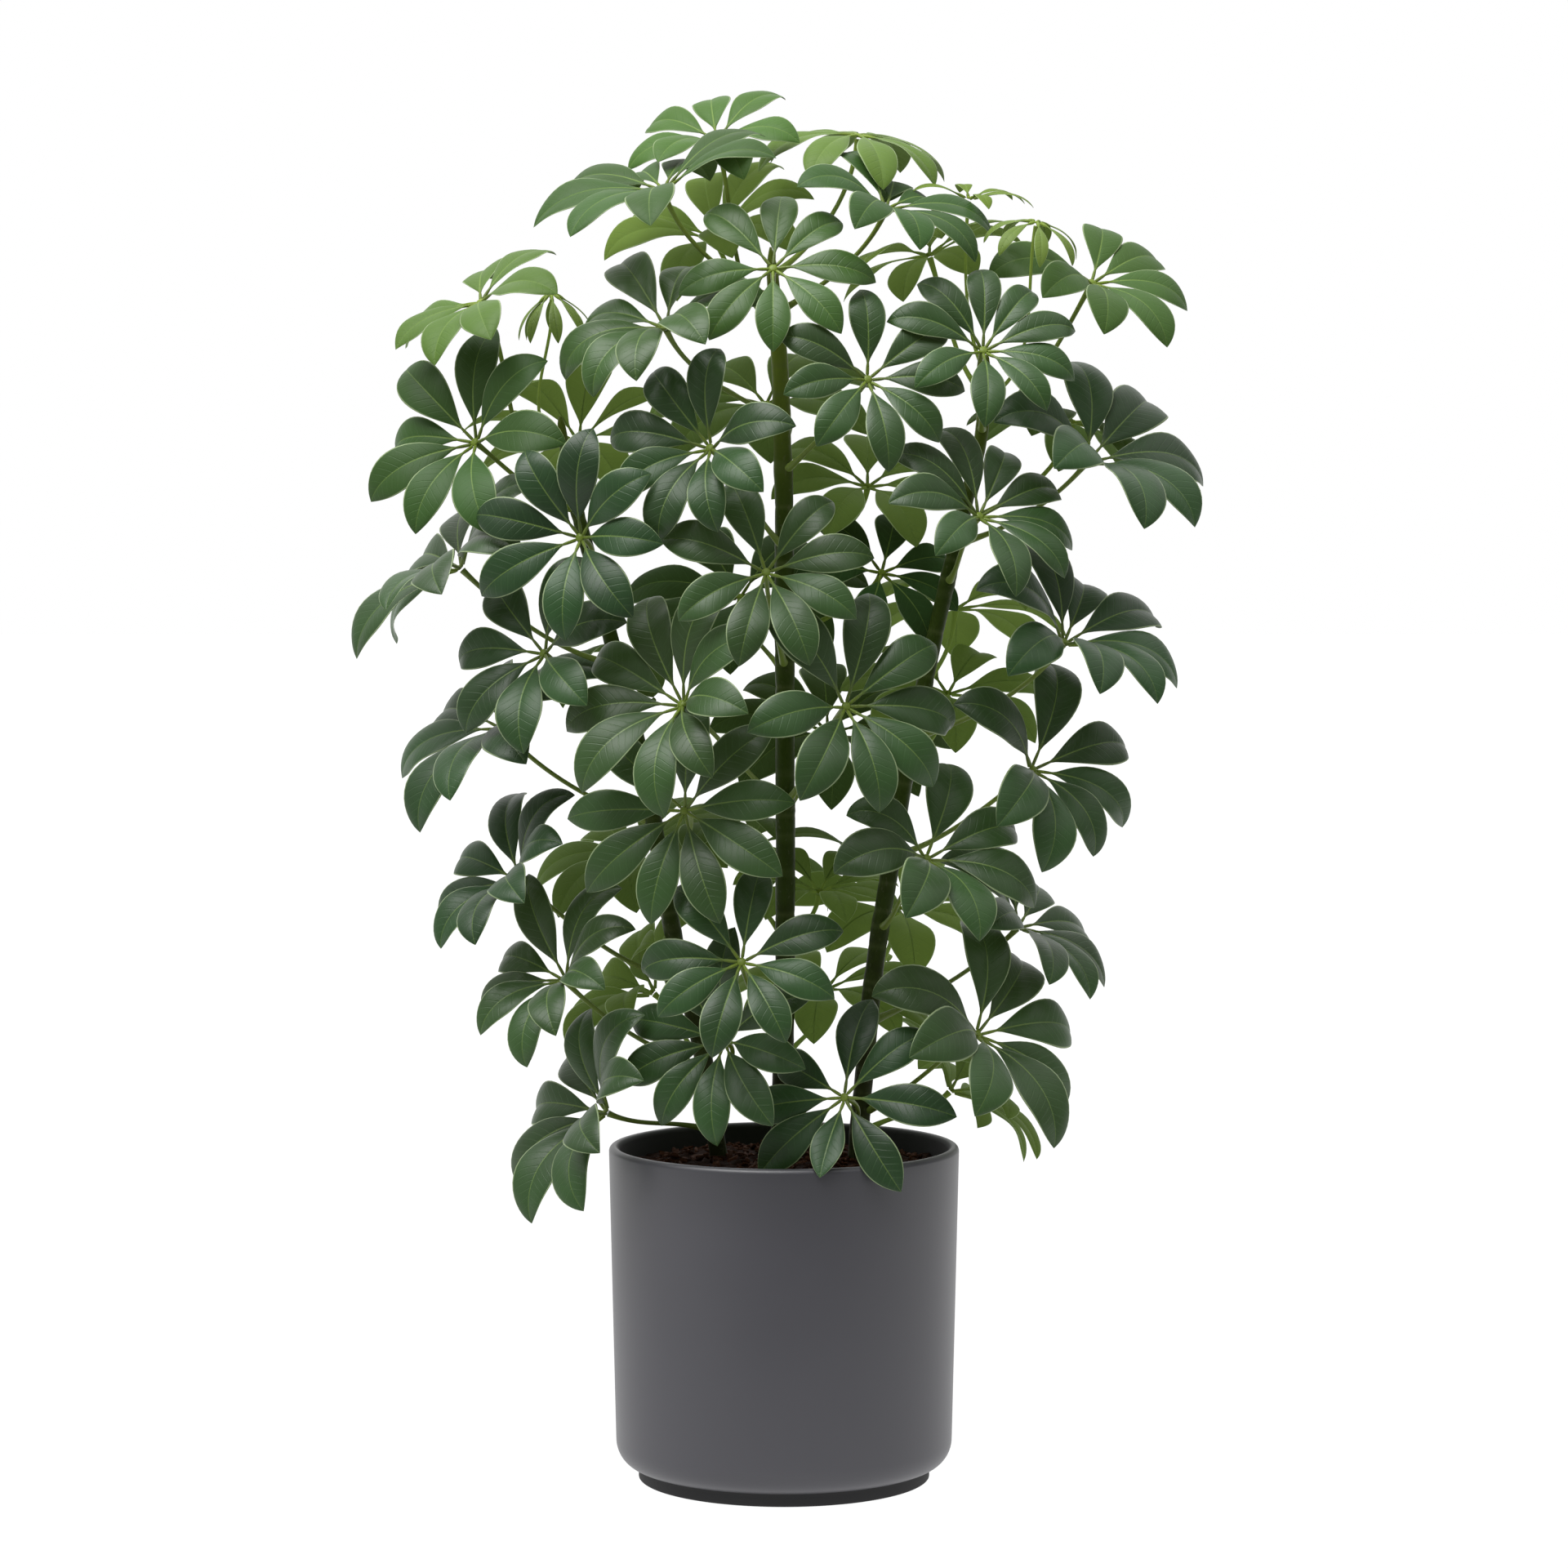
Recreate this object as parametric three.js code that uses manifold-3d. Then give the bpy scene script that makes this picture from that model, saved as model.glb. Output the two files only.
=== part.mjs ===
// A potted umbrella plant: three slender stems stand in the soil of a dark round pot and carry
// long-stalked leaves, each a whorl of seven to nine drooping leaflets.
// Millimetres, +Z up. The origin is the middle of the pot's foot, on the surface that it stands on.
import * as THREE from "three";
import { mergeVertices } from "three/addons/utils/BufferGeometryUtils.js";
import Module from "manifold-3d";

const wasm = await Module();
wasm.setup();

// Pot
const POT_HEIGHT = 252;
const RIM_RADIUS = 132;
const BODY_FOOT_RADIUS = 127;
const RIM_WALL = 8;
const FOOT_RADIUS = 110;
const FOOT_HEIGHT = 10;
const FOOT_CHAMFER = 1;
const BOTTOM_ROUND_HEIGHT = 20;
const FLOOR_HEIGHT = 20;
const FLOOR_RADIUS = 112;
const POT_SIDES = 48;
const CLEARANCE = 0.3;

// Soil
const SOIL_EDGE = 236;
const SOIL_MOUND = 242;
const SOIL_SIDES = 32;
const STEM_ROOT = 150;

// Leaves
const STEM_SIDES = 8;
const PATH_STEPS = 24;
const BLADE_STEPS = [8, 16, 24];
const BLADE_THICKNESS = 0.8;
const LENGTH_TO_WIDTH = 2.45;
const BASE_TAPER = 1.3;
const TIP_TAPER = 0.95;
const NARROWING = 0.2;
const YOUNG_SLIMNESS = 1.7;
const BLUNT_TIP = 0.3;
const TWIST = THREE.MathUtils.degToRad(3);
const LIGHTWARDS = 0.9;
const SAG = 0.2;
const DROOP_AT_KNOB = 0.5;
const STALKLET = 0.1;
const LENGTH_SPREAD = 0.12;
const PATH_START = 4;
const HUB_RADIUS = 3.6;
const HUB_HALF_HEIGHT = 0.8;
const HUB_CROWN = 1.8;
const PETIOLE_RADIUS = 1.7;
const PETIOLE_BASE_RADIUS = 3.2;
const PETIOLE_STEPS = 6;
const PETIOLE_RISE = 0.6;
const LOWEST_PETIOLE = 262;
const TIP_STRETCH = 45;
const PETIOLE_REACH = 0.35;
const PETIOLE_FLARE = 8;
const KNOB_BACK = 3;
const FOOT_GAP = CLEARANCE * 1.2;

const UP = new THREE.Vector3(0, 0, 1);
const vector = (x, y, z) => new THREE.Vector3(x, y, z);
const along = (point, direction, distance) => point.clone().addScaledVector(direction, distance);
const LIGHT = vector(0, -1, 0.3).normalize();

// Each stem's middle line from the soil to its tip: x, y, z and radius.
const STEMS = {
  left: [
    [-36, 24, STEM_ROOT, 7.0], [-47, 22, 225, 6.8], [-61, 20, 315, 6.6], [-86, 16, 420, 6.4],
    [-104, 13, 530, 6.2], [-132, 10, 641, 5.8], [-161, 8, 751, 4.8], [-168, 8, 800, 2.6],
  ],
  centre: [
    [-5, 22, STEM_ROOT, 8.2], [-3, 18, 225, 8.0], [1, 10, 380, 7.5], [1, 5, 500, 7.3],
    [0, 0, 745, 7.0], [-3, -4, 836, 6.4], [-8, -6, 900, 4.6], [-10, -7, 925, 2.4],
  ],
  right: [
    [49, 9, STEM_ROOT, 7.6], [54, 8, 225, 7.4], [65, 6, 358, 7.0], [73, 4, 420, 6.8],
    [90, 0, 524, 6.4], [110, -3, 622, 6.2], [125, -5, 690, 5.8], [147, -8, 781, 5.0], [151, -10, 845, 2.6],
  ],
};

// Each leaf: number, stem, the knob's place, the way the whorl faces, the leaflets' length, how far they lean
// forward at the knob and fall back at the tip in degrees, and each leaflet's direction in degrees clockwise
// from the top of the whorl. Low numbers are at the top of the plant, and those from 40 on are at the back.
const LEAVES = [
  [1, "centre", [-51, 40, 1009], [-0.25, -0.5, 0.85], 74, 22, 46, [22, 92, 140, 190, 240, 290, 335]],
  [2, "centre", [-89, -40, 965], [-0.3, -0.35, 0.9], 96, 25, 36, [20, 62, 145, 190, 228, 262, 292, 330]],
  [3, "centre", [56, 50, 1013], [0.1, -0.2, 1], 80, 0, 66, [10, 55, 100, 145, 190, 235, 280, 325]],
  [4, "centre", [76, -20, 953], [0.35, -0.4, 0.85], 84, 30, 46, [5, 32, 65, 118, 148, 200, 238, 285]],
  [5, "centre", [-52, 75, 937], [-0.3, -0.45, 0.85], 90, 42, 46, [15, 55, 95, 130, 165, 230, 270, 330]],
  [6, "centre", [-8, -75, 905], [0, -0.85, 0.55], 74, 15, 46, [5, 45, 92, 135, 180, 220, 258, 320]],
  [7, "centre", [-87, -65, 863], [-0.35, -0.5, 0.8], 90, 42, 46, [60, 122, 156, 190, 226, 262, 305, 350]],
  [9, "left", [-227, 0, 885], [-0.5, -0.3, 0.8], 84, 15, 46, [75, 118, 150, 182, 240, 310, 345]],
  [10, "left", [-230, -20, 780], [-0.5, -0.75, 0.4], 92, 35, 40, [2, 42, 90, 150, 195, 235, 262, 310]],
  [12, "right", [232, 26, 901], [0.4, -0.5, 0.75], 84, 30, 46, [35, 75, 115, 170, 205, 245, 295]],
  [14, "right", [146, -65, 846], [0.2, -0.8, 0.55], 74, 30, 46, [5, 40, 75, 108, 145, 190, 240, 290, 325]],
  [15, "centre", [61, -85, 824], [0.25, -0.9, 0.35], 74, 30, 46, [0, 55, 95, 135, 175, 222, 255, 292]],
  [16, "centre", [-54, -100, 774], [-0.45, -0.8, 0.4], 84, 42, 46, [0, 80, 115, 148, 190, 230, 275, 325]],
  [17, "left", [-149, -85, 709], [-0.35, -0.9, 0.1], 84, 42, 46, [10, 45, 85, 130, 180, 240, 285, 330]],
  [18, "right", [143, -80, 725], [0.45, -0.6, 0.65], 84, 30, 46, [0, 33, 70, 110, 145, 190, 240, 272, 315]],
  [19, "right", [228, 0, 767], [0.55, -0.45, 0.7], 106, 42, 46, [20, 65, 115, 160, 205, 255, 290]],
  [20, "centre", [-13, -110, 684], [0, -0.9, 0.4], 80, 30, 46, [40, 80, 112, 150, 195, 240, 290, 340]],
  [21, "centre", [74, 30, 683], [0.3, -0.7, 0.65], 68, 15, 46, [25, 75, 118, 160, 210, 270, 330]],
  [22, "right", [209, -30, 632], [0.5, -0.4, 0.75], 102, 42, 46, [10, 42, 85, 132, 170, 212, 248, 290]],
  [23, "left", [-243, 0, 687], [-0.7, -0.15, 0.7], 104, 30, 46, [30, 70, 100, 130, 190, 218, 265, 305]],
  [24, "left", [-178, -50, 624], [-0.6, -0.7, 0.45], 84, 30, 46, [20, 70, 120, 165, 215, 265, 312]],
  [25, "centre", [-75, -95, 588], [-0.6, -0.7, 0.5], 98, 42, 46, [15, 55, 90, 122, 160, 210, 245, 285, 325]],
  [26, "centre", [45, -110, 587], [0.3, -0.88, 0.35], 92, 36, 46, [15, 50, 85, 125, 170, 215, 258, 322]],
  [27, "left", [-214, 10, 567], [-0.6, -0.3, 0.7], 102, 30, 46, [20, 62, 105, 140, 175, 230, 268, 305]],
  [28, "left", [-73, -92, 510], [-0.3, -0.9, 0.2], 90, 25, 36, [8, 45, 82, 117, 155, 192, 230, 268, 312]],
  [29, "right", [186, -20, 537], [0.6, -0.6, 0.55], 98, 42, 46, [28, 86, 119, 152, 192, 240, 305, 342]],
  [30, "left", [-200, 0, 452], [-0.7, -0.35, 0.6], 86, 42, 46, [25, 65, 105, 145, 190, 222, 270, 325]],
  [31, "right", [105, -85, 475], [0.5, -0.6, 0.6], 94, 42, 46, [30, 82, 120, 185, 230, 262, 298]],
  [32, "centre", [-31, -110, 401], [-0.05, -0.9, 0.4], 78, 30, 46, [10, 70, 110, 150, 195, 230, 262, 320]],
  [33, "left", [-165, -25, 380], [-0.55, -0.5, 0.65], 84, 42, 46, [15, 55, 98, 130, 162, 200, 232, 268, 330]],
  [34, "right", [178, 15, 416], [0.65, -0.25, 0.7], 86, 30, 46, [25, 70, 105, 150, 188, 230, 275, 325]],
  [35, "centre", [27, 60, 439], [0.1, -0.3, 0.9], 70, 30, 46, [40, 90, 135, 180, 230, 280, 340]],
  [36, "right", [144, -55, 342], [0.7, -0.5, 0.5], 106, 36, 48, [18, 50, 98, 130, 170, 230, 262, 295]],
  [37, "left", [-45, -70, 339], [-0.45, -0.8, 0.3], 84, 30, 46, [20, 60, 100, 135, 170, 210, 245, 280, 325]],
  [38, "right", [44, -95, 300], [-0.45, -0.85, 0.3], 80, 0, 46, [0, 40, 90, 140, 178, 215, 250, 295]],
  [39, "left", [-134, -25, 280], [-0.9, -0.3, 0.45], 102, 42, 46, [30, 65, 98, 132, 172, 215, 252, 290, 325]],
  [40, "right", [129, 60, 286], [0.7, 0.2, 0.65], 90, 30, 46, [40, 85, 130, 180, 220, 258, 300, 350]],
  [41, "left", [-102, 75, 360], [-0.7, -0.2, 0.65], 84, 42, 46, [20, 68, 115, 165, 212, 258, 305]],
  [42, "right", [88, 85, 424], [0.1, -0.4, 0.8], 90, 20, 50, [30, 80, 130, 185, 235, 285, 335]],
  [43, "right", [132, 90, 655], [0.1, 0.3, 0.95], 92, 15, 56, [15, 65, 115, 165, 210, 255, 305]],
  [44, "right", [126, 80, 590], [0.1, -0.4, 0.8], 88, 20, 50, [35, 90, 140, 190, 235, 285, 340]],
  [45, "centre", [64, 75, 749], [0.1, -0.45, 0.8], 84, 20, 50, [10, 60, 112, 165, 215, 265, 318]],
  [46, "left", [-157, 70, 783], [-0.15, 0.55, 0.8], 90, 30, 46, [0, 40, 85, 125, 165, 215, 265, 310]],
  [47, "right", [110, 60, 924], [-0.3, 0.2, 0.95], 78, 15, 46, [0, 50, 105, 165, 220, 265, 315]],
  [48, "right", [222, 85, 798], [0.3, 0.1, 0.95], 90, 5, 66, [10, 60, 110, 155, 200, 255, 310]],
  [51, "centre", [-14, 85, 812], [-0.1, -0.4, 0.8], 96, 20, 50, [10, 60, 112, 165, 215, 265, 318]],
  [52, "centre", [-34, 85, 664], [-0.1, -0.5, 0.75], 100, 20, 50, [25, 72, 122, 175, 225, 275, 328]],
  [54, "centre", [34, 88, 560], [0.1, -0.5, 0.75], 96, 20, 50, [5, 50, 95, 140, 188, 235, 280, 322]],
  [55, "left", [-112, 95, 618], [-0.3, 0.15, 0.95], 94, 20, 60, [15, 60, 105, 150, 195, 240, 285, 330]],
  [56, "left", [-114, 95, 466], [-0.3, -0.3, 0.8], 92, 20, 56, [35, 85, 138, 190, 240, 290, 342]],
  [58, "centre", [-28, 112, 470], [0.1, 0.3, 0.9], 94, 20, 60, [20, 72, 122, 172, 225, 275, 328]],
  [59, "centre", [32, 80, 362], [-0.1, -0.3, 0.9], 84, 20, 56, [20, 70, 120, 170, 220, 270, 320]],
];

// Young leaves, half folded like a closed umbrella, that rise from a stem's tip: as above, then the height
// that the stalk leaves the stem at.
const YOUNG_LEAVES = [
  [8, "left", [-174, 5, 890], [-0.1, -0.15, 1], 42, -35, 84, [5, 50, 95, 140, 185, 230, 275, 320], 785],
  [11, "right", [187, -25, 942], [0.2, -0.3, 1], 45, -10, 84, [0, 50, 102, 155, 205, 255, 308], 815],
  [49, "right", [139, 24, 964], [0.1, -0.2, 1], 46, 20, 40, [20, 72, 96, 120, 190, 280], 835],
];

// What a leaflet may do to keep clear of what stands already, the first that fits being taken: degrees of
// droop, degrees of turn about the knob, and share of its length.
const BENDS = [
  [0, 0, 1], [9, 0, 1], [-9, 0, 1], [0, 6, 1], [0, -6, 1], [18, 0, 1], [-18, 0, 1], [9, 6, 1],
  [-9, -6, 1], [-9, 6, 1], [9, -6, 1], [30, 0, 1], [-30, 0, 1], [18, 8, 1], [-18, -8, 1], [-18, 8, 1],
  [18, -8, 1], [-45, 0, 1], [45, 0, 1], [-30, 10, 1], [-30, -10, 1], [30, 10, 1], [30, -10, 1],
  [0, 0, 0.85], [-20, 0, 0.85], [20, 0, 0.85], [-20, 12, 0.85], [20, 12, 0.85], [-20, -12, 0.85],
  [20, -12, 0.85], [-40, 8, 0.85], [-40, -8, 0.85], [45, 0, 0.85], [-60, 0, 0.85], [0, 0, 0.7],
  [-30, 0, 0.7], [30, 0, 0.7], [0, 14, 0.7], [0, -14, 0.7], [-30, 14, 0.7], [-30, -14, 0.7],
  [30, 14, 0.7], [30, -14, 0.7], [-60, 0, 0.7], [0, 0, 0.55], [-40, 0, 0.55], [40, 0, 0.55],
  [-70, 0, 0.55], [60, 0, 0.55],
];

// What a stalk may do: millimetres that its middle bows to the side, and upwards.
const BOWS = [
  [0, 0], [8, 0], [-8, 0], [0, -10], [0, 10], [16, 0], [-16, 0], [16, -10], [-16, -10], [16, 10], [-16, 10],
  [26, 0], [-26, 0], [26, -14], [-26, -14], [36, 0], [-36, 0],
];

// An even spread of small differences between minus and plus a half.
function wobble(index, salt) {
  return ((index * 0.6180339887 + salt * 0.7548776662) % 1) - 0.5;
}

// A mesh under construction: points, and triangles of point numbers, anticlockwise seen from outside.
class Shell {
  points = [];
  triangles = [];

  add(point) {
    this.points.push(point);
    return this.points.length - 1;
  }

  face(...corners) {
    for (let k = 2; k < corners.length; k++) this.triangles.push(corners[0], corners[k - 1], corners[k]);
  }

  // Walls between two rings of the same count, the second further along the tube.
  wall(near, far) {
    near.forEach((corner, k) => {
      const next = (k + 1) % near.length;
      this.face(corner, near[next], far[next], far[k]);
    });
  }

  solid() {
    const positions = Float32Array.from(this.points.flatMap((point) => point.toArray()));
    const mesh = { numProp: 3, vertProperties: positions, triVerts: Uint32Array.from(this.triangles) };
    return new wasm.Manifold(new wasm.Mesh(mesh));
  }

  geometry() {
    const geometry = new THREE.BufferGeometry();
    const positions = this.points.flatMap((point) => point.toArray());
    geometry.setAttribute("position", new THREE.Float32BufferAttribute(positions, 3));
    geometry.setIndex(this.triangles);
    return geometry;
  }
}

function solidOf(geometry) {
  const bare = geometry.clone();
  bare.deleteAttribute("normal");
  bare.deleteAttribute("uv");
  const merged = mergeVertices(bare, 1e-3);
  const vertProperties = Float32Array.from(merged.attributes.position.array);
  const triVerts = Uint32Array.from(merged.index.array);
  return new wasm.Manifold(new wasm.Mesh({ numProp: 3, vertProperties, triVerts }));
}

function geometryOf(solid) {
  const { vertProperties, triVerts } = solid.getMesh();
  const geometry = new THREE.BufferGeometry();
  geometry.setAttribute("position", new THREE.BufferAttribute(vertProperties, 3));
  geometry.setIndex(new THREE.BufferAttribute(triVerts, 1));
  return geometry;
}

function material(colour, roughness) {
  return new THREE.MeshStandardMaterial({ color: colour, roughness, metalness: 0, flatShading: true });
}

const GLAZE = material(0x4b4a50, 0.5);
const BARK_SOIL = material(0x1e130b, 0.95);
const STEM_GREEN = material(0x45562d, 0.7);
const OLD_LEAF = material(0x3c5a2f, 0.4);
const YOUNG_LEAF = material(0x6b8a45, 0.4);

function named(name, geometry, look) {
  const mesh = new THREE.Mesh(geometry, look);
  mesh.name = name;
  return mesh;
}

// Pot

function arcPoints(centreX, centreY, radiusX, radiusY, from, to, steps) {
  return Array.from({ length: steps + 1 }, (_, k) => {
    const angle = THREE.MathUtils.degToRad(from + ((to - from) * k) / steps);
    return new THREE.Vector2(centreX + radiusX * Math.cos(angle), centreY + radiusY * Math.sin(angle));
  });
}

// A profile turned about the upright axis, radius then height.
function turned(profile, sides) {
  return new THREE.LatheGeometry(profile, sides).rotateX(Math.PI / 2);
}

const RIM_ROUND = RIM_WALL / 2;
const RIM_INSIDE = RIM_RADIUS - RIM_WALL;

function potInsideRadius(height) {
  const share = (height - FLOOR_HEIGHT) / (POT_HEIGHT - RIM_ROUND - FLOOR_HEIGHT);
  return THREE.MathUtils.lerp(FLOOR_RADIUS, RIM_INSIDE, share);
}

function potGeometry() {
  const roundWidth = BODY_FOOT_RADIUS - FOOT_RADIUS;
  const roundTop = FOOT_HEIGHT + BOTTOM_ROUND_HEIGHT;
  const rimHeight = POT_HEIGHT - RIM_ROUND;
  return turned([
    new THREE.Vector2(0, 0),
    new THREE.Vector2(FOOT_RADIUS - FOOT_CHAMFER, 0),
    new THREE.Vector2(FOOT_RADIUS, FOOT_CHAMFER),
    ...arcPoints(FOOT_RADIUS, roundTop, roundWidth, BOTTOM_ROUND_HEIGHT, -90, 0, 4),
    ...arcPoints(RIM_RADIUS - RIM_ROUND, rimHeight, RIM_ROUND, RIM_ROUND, 0, 180, 4),
    new THREE.Vector2(FLOOR_RADIUS, FLOOR_HEIGHT),
    new THREE.Vector2(0, FLOOR_HEIGHT),
  ], POT_SIDES);
}

// Stems: tubes along a line of places with a radius each, and flat ends.

function stemShell(line, growth) {
  const shell = new Shell();
  const places = line.map(([x, y, z]) => vector(x, y, z));
  const rings = places.map((place, k) => {
    const before = places[Math.max(k - 1, 0)];
    const after = places[Math.min(k + 1, places.length - 1)];
    const heading = after.clone().sub(before).normalize();
    const sideways = vector(0, 1, 0).cross(heading).normalize();
    const forwards = heading.clone().cross(sideways);
    return Array.from({ length: STEM_SIDES }, (_, n) => {
      const angle = (2 * Math.PI * n) / STEM_SIDES;
      const radius = line[k][3] + growth;
      const corner = along(place, sideways, radius * Math.cos(angle));
      return shell.add(corner.addScaledVector(forwards, radius * Math.sin(angle)));
    });
  });
  shell.face(...[...rings[0]].reverse());
  for (let k = 1; k < rings.length; k++) shell.wall(rings[k - 1], rings[k]);
  shell.face(...rings.at(-1));
  return shell;
}

// Where a stem's middle is at a height, with its radius and its heading there.
function stemAt(stem, height) {
  const line = STEMS[stem];
  const k = Math.max(1, line.findIndex(([, , z]) => z >= height));
  const [x0, y0, z0, r0] = line[k - 1];
  const [x1, y1, z1, r1] = line[k];
  const share = (height - z0) / (z1 - z0);
  const between = (a, b) => THREE.MathUtils.lerp(a, b, share);
  const heading = vector(x1 - x0, y1 - y0, z1 - z0).normalize();
  return { middle: vector(between(x0, x1), between(y0, y1), height), radius: between(r0, r1), heading };
}

// The soil fills the pot, domed in the middle, with a plain hole round each stem's foot.
function soilGeometry() {
  const floor = FLOOR_HEIGHT + CLEARANCE;
  const radiusAt = (height) => potInsideRadius(height) - CLEARANCE * 1.5;
  let soil = solidOf(turned([
    new THREE.Vector2(0, floor),
    new THREE.Vector2(radiusAt(floor), floor),
    new THREE.Vector2(radiusAt(SOIL_EDGE), SOIL_EDGE),
    new THREE.Vector2(RIM_INSIDE * 0.7, SOIL_EDGE + 3),
    new THREE.Vector2(RIM_INSIDE * 0.35, SOIL_MOUND - 1),
    new THREE.Vector2(0, SOIL_MOUND),
  ], SOIL_SIDES));
  for (const line of Object.values(STEMS)) {
    const [[x, y, z, radius]] = line;
    const hole = [[x, y, z - CLEARANCE, radius], ...line.slice(1)];
    soil = soil.subtract(stemShell(hole, FOOT_GAP).solid());
  }
  return geometryOf(soil);
}

// Leaves

function leafOf(row) {
  const [number, stem, knob, facing, length, lean, fall, directions, givenHeight] = row;
  const hub = vector(...knob);
  const axis = vector(...facing).normalize();
  const side = UP.clone().cross(axis).normalize();
  const top = axis.clone().cross(side);
  const angles = directions.map(THREE.MathUtils.degToRad);
  return { number, stem, hub, axis, side, top, length, lean, fall, angles, givenHeight };
}

// A direction across the whorl at an angle from its top, clockwise from the front.
function spoke(leaf, angle) {
  return leaf.top.clone().multiplyScalar(Math.cos(angle)).addScaledVector(leaf.side, Math.sin(angle));
}

// The middle line of a leaflet from the knob to its tip. It starts leaning forward, arches back by a square
// law and sags, and it is followed in equal steps. Droop acts fully at the tip and by a share at the knob.
function leafletPath(leaf, angle, length, droop) {
  const direction = spoke(leaf, angle);
  const lean = THREE.MathUtils.degToRad(leaf.lean - droop * DROOP_AT_KNOB);
  const fall = THREE.MathUtils.degToRad(leaf.fall + droop);
  let place = along(leaf.hub, direction, PATH_START);
  const headings = Array.from({ length: PATH_STEPS }, (_, k) => {
    const share = (k + 0.5) / PATH_STEPS;
    const pitch = -lean + (lean + fall) * share ** 2;
    const heading = direction.clone().multiplyScalar(Math.cos(pitch));
    heading.addScaledVector(leaf.axis, -Math.sin(pitch));
    return heading.normalize().addScaledVector(UP, -SAG * share ** 2).normalize();
  });
  const path = [{ place, heading: headings[0] }];
  headings.forEach((heading, k) => {
    place = along(place, heading, length / PATH_STEPS);
    const next = headings[Math.min(k + 1, PATH_STEPS - 1)];
    path.push({ place, heading: heading.clone().add(next).normalize() });
  });
  return path;
}

// The outline of a leaflet: 0 at the stalklet's end and at the tip, 1 where it is widest.
function bladeWidth(share) {
  const form = (t) => t ** BASE_TAPER * (1 - t) ** TIP_TAPER;
  return form(Math.min(Math.max(share, 0), 1)) / form(BASE_TAPER / (BASE_TAPER + TIP_TAPER));
}

// The corners of a blade at one of its steps: front left, front right, back right, back left. The blade faces
// the way the whorl does, turned towards the light by a share that is smaller in a whorl that faces upwards.
function bladeCorners(leaf, path, step, length, growth) {
  const { place, heading } = path[step];
  const facing = along(leaf.axis, LIGHT, LIGHTWARDS * (1 - leaf.axis.z ** 2));
  const normal = facing.addScaledVector(heading, -facing.dot(heading)).normalize();
  const across = heading.clone().cross(normal);
  const tilted = across.clone().multiplyScalar(Math.cos(TWIST)).addScaledVector(normal, Math.sin(TWIST));
  const upright = normal.clone().multiplyScalar(Math.cos(TWIST)).addScaledVector(across, -Math.sin(TWIST));
  const share = (step / PATH_STEPS - STALKLET) / (1 - STALKLET);
  const form = step === PATH_STEPS ? BLUNT_TIP : bladeWidth(share);
  const slimness = LENGTH_TO_WIDTH + NARROWING * (leaf.angles.length - 7);
  const width = length / (leaf.givenHeight ? slimness * YOUNG_SLIMNESS : slimness);
  const half = (form * width) / 2 + growth;
  const thick = BLADE_THICKNESS / 2 + growth;
  return [[-1, 1], [1, 1], [1, -1], [-1, -1]].map(([a, b]) =>
    along(place, tilted, a * half).addScaledVector(upright, b * thick));
}

// The knob's edge halfway between two leaflets, at the front and at the back.
function valley(leaf, angle, growth) {
  const place = along(leaf.hub, spoke(leaf, angle), HUB_RADIUS);
  const half = HUB_HALF_HEIGHT + growth;
  return [along(place, leaf.axis, half), along(place, leaf.axis, -half)];
}

// Walls of a blade between two rings of front left, front right, back right and back left, with the front and
// the back split along the same diagonal.
function bladeWalls(shell, near, far) {
  const [nearLeft, nearRight, nearRightBack, nearLeftBack] = near;
  const [farLeft, farRight, farRightBack, farLeftBack] = far;
  shell.face(nearLeft, nearRight, farRight, farLeft);
  shell.face(nearRight, nearRightBack, farRightBack, farRight);
  shell.face(nearLeftBack, farLeftBack, farRightBack, nearRightBack);
  shell.face(nearLeftBack, nearLeft, farLeft, farLeftBack);
}

function addBlade(shell, root, rings) {
  let near = root;
  for (const ring of rings) {
    const far = ring.map((corner) => shell.add(corner));
    bladeWalls(shell, near, far);
    near = far;
  }
  shell.face(...near);
}

function bladeRings(leaf, bend, index, growth) {
  const [droop, turn, size] = bend;
  const angle = leaf.angles[index] + THREE.MathUtils.degToRad(turn);
  const length = leaf.length * (1 + LENGTH_SPREAD * wobble(index, leaf.number)) * size;
  const path = leafletPath(leaf, angle, length, droop);
  return BLADE_STEPS.map((step) => bladeCorners(leaf, path, step, length, growth));
}

// The directions halfway between neighbouring leaflets.
function valleyAngles(leaf) {
  return leaf.angles.map((angle, index) => {
    const next = leaf.angles[index + 1] ?? leaf.angles[0] + 2 * Math.PI;
    return (angle + next) / 2;
  });
}

// One leaflet as a solid of its own, to try it against what stands already.
function bladeSolid(leaf, bend, index, growth) {
  const shell = new Shell();
  const angles = valleyAngles(leaf);
  const [leftFront, leftBack] = valley(leaf, angles.at(index - 1), growth);
  const [rightFront, rightBack] = valley(leaf, angles[index], growth);
  const root = [leftFront, rightFront, rightBack, leftBack].map((corner) => shell.add(corner));
  shell.face(...[...root].reverse());
  addBlade(shell, root, bladeRings(leaf, bend, index, growth));
  return shell.solid();
}

// The height that a stalk leaves its stem at: lower than the knob by a share of the reach between them, above
// the soil, and spread over the last stretch below the stem's tip.
function stalkHeight({ number, hub, stem }) {
  const highest = STEMS[stem].at(-1)[2] - TIP_STRETCH * (0.8 + wobble(number, 3));
  let height = Math.min(hub.z, highest);
  for (let k = 0; k < 6; k++) {
    const { middle } = stemAt(stem, height);
    height = Math.min(hub.z - PETIOLE_RISE * Math.hypot(hub.x - middle.x, hub.y - middle.y), highest);
  }
  return Math.max(height, LOWEST_PETIOLE);
}

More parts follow.
